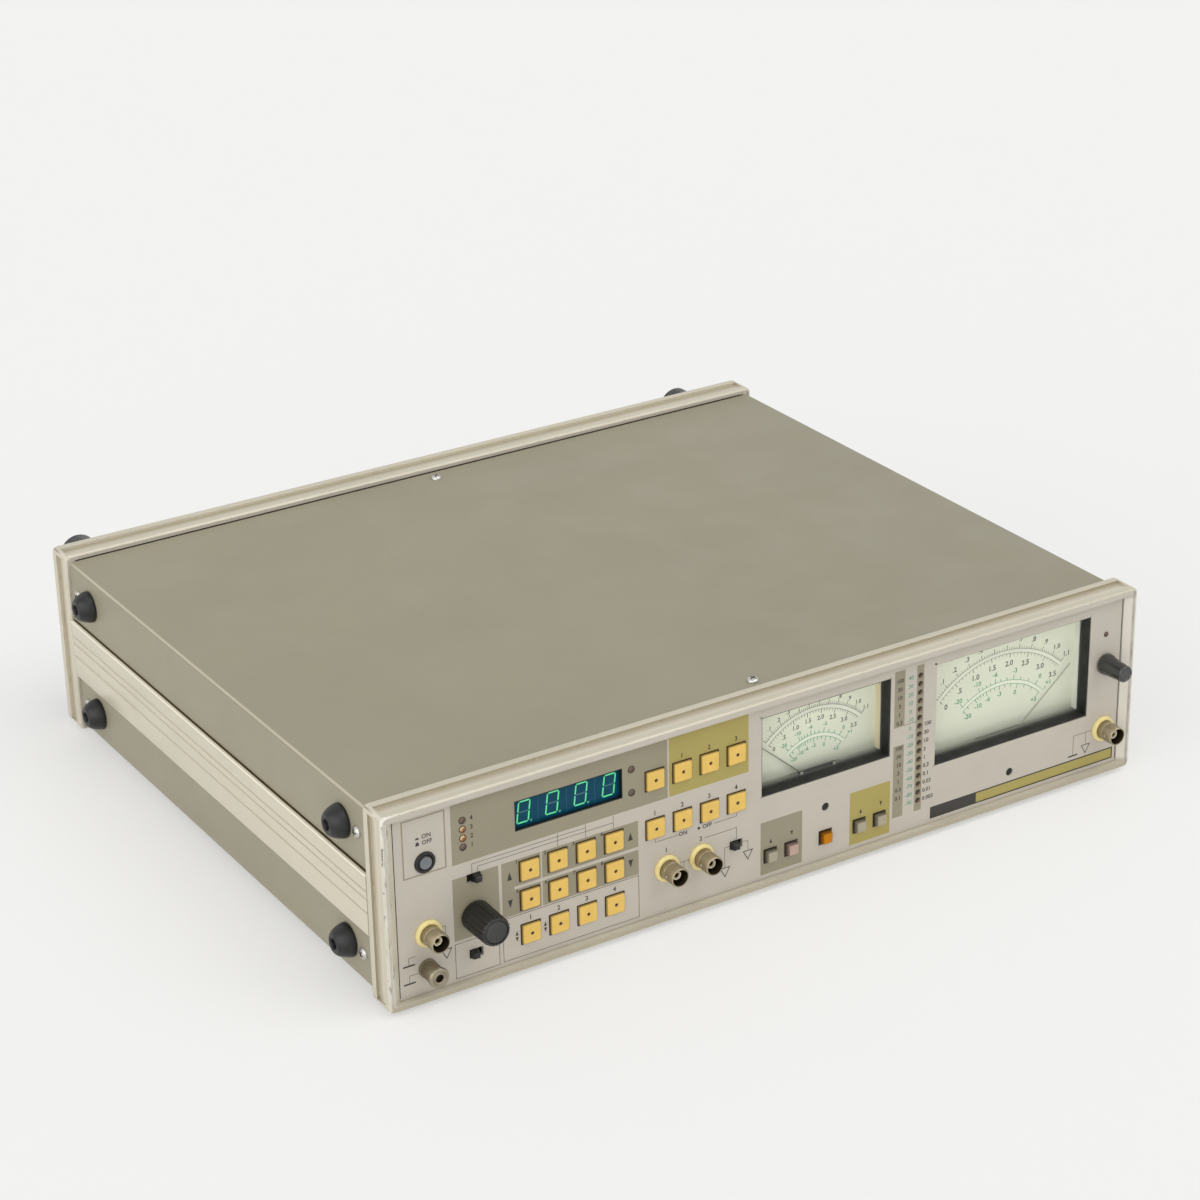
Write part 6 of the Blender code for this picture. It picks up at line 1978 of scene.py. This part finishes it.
class StageOperator(bpy.types.Operator):
    """Lay the pale floor, set the soft lights and stand the camera where the picture was taken"""

    bl_idname = "analyzer.stage"
    bl_label = "Stage"

    # How far the floor reaches each way, and how far it lies under the feet
    FLOOR_REACH = 6.0
    FLOOR_DROP = 0.05 * MM

    # What the camera looks at, from the middle of the front frame's foot, and its sensor and nearest sight
    AIM = Vector((9.66, 177.0, 78.02)) * MM
    SENSOR = 36.0
    NEAREST = 0.01

    # Which way the lamps shine, and the colour of the even light
    FROM_ABOVE = Vector((-0.35, 0.45, -0.82))
    FROM_LEFT = Vector((0.87, 0.42, -0.25))
    DAYLIGHT = (1.0, 0.995, 0.98, 1.0)

    def floor(self):
        """A wide floor just under the feet."""
        shape = bmesh.new()
        bmesh.ops.create_grid(shape, x_segments=4, y_segments=4, size=self.FLOOR_REACH)
        mesh = bpy.data.meshes.new("floor")
        shape.to_mesh(mesh)
        shape.free()
        mesh.materials.append(self.floor_paint())
        ground = linked("floor", mesh)
        ground.location.z = CAD_BOX[0].z - self.FLOOR_DROP

    def floor_paint(self):
        """Pale paint that takes the object's shadow, thinned for the camera and for mirrors."""
        stage = look("stage")
        paint = Finish("Floor paint", stage.floor, 0.6)
        paint.vary("Roughness", paint.grain(200 * MM, 3.0), 0.55, 0.65)
        seen = paint.node("Emission", {"Color": stage.backdrop})
        thinned = paint.node("Math", {0: self.seen_share(paint.tree), 1: stage.shine}, operation="MULTIPLY")
        mix = paint.node("MixShader", {0: thinned.outputs[0], 1: paint.surface.outputs[0],
                                       2: seen.outputs[0]})
        paint.tree.links.new(mix.outputs[0], paint.tree.nodes["Material Output"].inputs["Surface"])
        return paint.done()

    def seen_share(self, tree):
        """One for what the camera, mirrors and glass see, and none for light."""
        path = tree.nodes.new("ShaderNodeLightPath")
        share = path.outputs["Is Camera Ray"]
        for name in ("Is Glossy Ray", "Is Transmission Ray"):
            either = tree.nodes.new("ShaderNodeMath")
            either.operation = "MAXIMUM"
            tree.links.new(share, either.inputs[0])
            tree.links.new(path.outputs[name], either.inputs[1])
            share = either.outputs[0]
        return share

    def world(self):
        """Even light, with the backdrop's own colour for what the camera and mirrors see."""
        stage = look("stage")
        world = bpy.data.worlds.new("studio")
        bpy.context.scene.world = world
        world.use_nodes = True
        tree = world.node_tree
        light = tree.nodes["Background"]
        light.inputs["Color"].default_value = self.DAYLIGHT
        light.inputs["Strength"].default_value = stage.sky
        seen = tree.nodes.new("ShaderNodeBackground")
        seen.inputs["Color"].default_value = stage.backdrop
        mix = tree.nodes.new("ShaderNodeMixShader")
        tree.links.new(self.seen_share(tree), mix.inputs[0])
        tree.links.new(light.outputs[0], mix.inputs[1])
        tree.links.new(seen.outputs[0], mix.inputs[2])
        tree.links.new(mix.outputs[0], tree.nodes["World Output"].inputs["Surface"])

    def lamp(self, name, strength, spread, towards):
        """A soft lamp so far away that it lights the whole floor alike."""
        data = bpy.data.lights.new(name, "SUN")
        data.energy = strength
        data.angle = spread
        linked(name, data).rotation_euler = towards.to_track_quat("-Z", "Y").to_euler()

    def camera(self):
        """The camera at the picture's angle, distance and lens."""
        stage = look("stage")
        aim = Vector((CASE_MIDDLE.x, FRAME_LOW.y, FRAME_LOW.z)) + self.AIM
        azimuth, elevation = stage.azimuth, stage.elevation
        ahead = Vector((math.sin(azimuth) * math.cos(elevation), math.cos(azimuth) * math.cos(elevation),
                        -math.sin(elevation)))
        right = ahead.cross(Vector((0, 0, 1))).normalized()
        up = right.cross(ahead)
        level = Matrix((right, up, -ahead)).transposed().to_4x4()
        data = bpy.data.cameras.new("photo_camera")
        data.lens = stage.lens
        data.sensor_width = self.SENSOR
        data.clip_start = self.NEAREST
        camera = linked("photo_camera", data)
        camera.matrix_world = (Matrix.Translation(aim - ahead * stage.distance) @ level
                               @ Matrix.Rotation(stage.roll, 4, "Z"))
        bpy.context.scene.camera = camera

    def execute(self, context):
        stage = look("stage")
        self.floor()
        self.world()
        self.lamp("lamp_above", stage.key, stage.key_spread, self.FROM_ABOVE)
        self.lamp("lamp_left", stage.side, stage.side_spread, self.FROM_LEFT)
        self.camera()
        context.scene.view_settings.view_transform = "Standard"
        return {"FINISHED"}


OPERATORS = (FramesOperator, CoversOperator, FeetOperator, ScrewsOperator, PanelOperator, KeysOperator,
             PowerOperator, TuningKnobOperator, ReferenceKnobOperator, SocketsOperator, MetersOperator,
             DisplayOperator, LampsOperator, RearOperator, StageOperator)


class AnalyzerPanel(bpy.types.Panel):
    """Lists the pieces and the values that shape them"""

    bl_idname = "VIEW3D_PT_analyzer"
    bl_label = "Audio analyzer"
    bl_space_type = "VIEW_3D"
    bl_region_type = "UI"
    bl_category = "Analyzer"

    def draw(self, context):
        for operator in OPERATORS:
            self.layout.operator(operator.bl_idname)
        for group in LOOKS:
            box = self.layout.box()
            box.label(text=group.capitalize())
            for name in LOOKS[group].__annotations__:
                box.prop(look(group), name)


CLASSES = (*LOOKS.values(), *OPERATORS, AnalyzerPanel)


def register():
    for item in CLASSES:
        bpy.utils.register_class(item)
    for group, values in LOOKS.items():
        setattr(bpy.types.Scene, f"analyzer_{group}", PointerProperty(type=values))


def unregister():
    for group in LOOKS:
        delattr(bpy.types.Scene, f"analyzer_{group}")
    for item in reversed(CLASSES):
        bpy.utils.unregister_class(item)


def main():
    register()
    for operator in OPERATORS:
        group, name = operator.bl_idname.split(".")
        getattr(getattr(bpy.ops, group), name)()


if __name__ == "__main__":
    main()
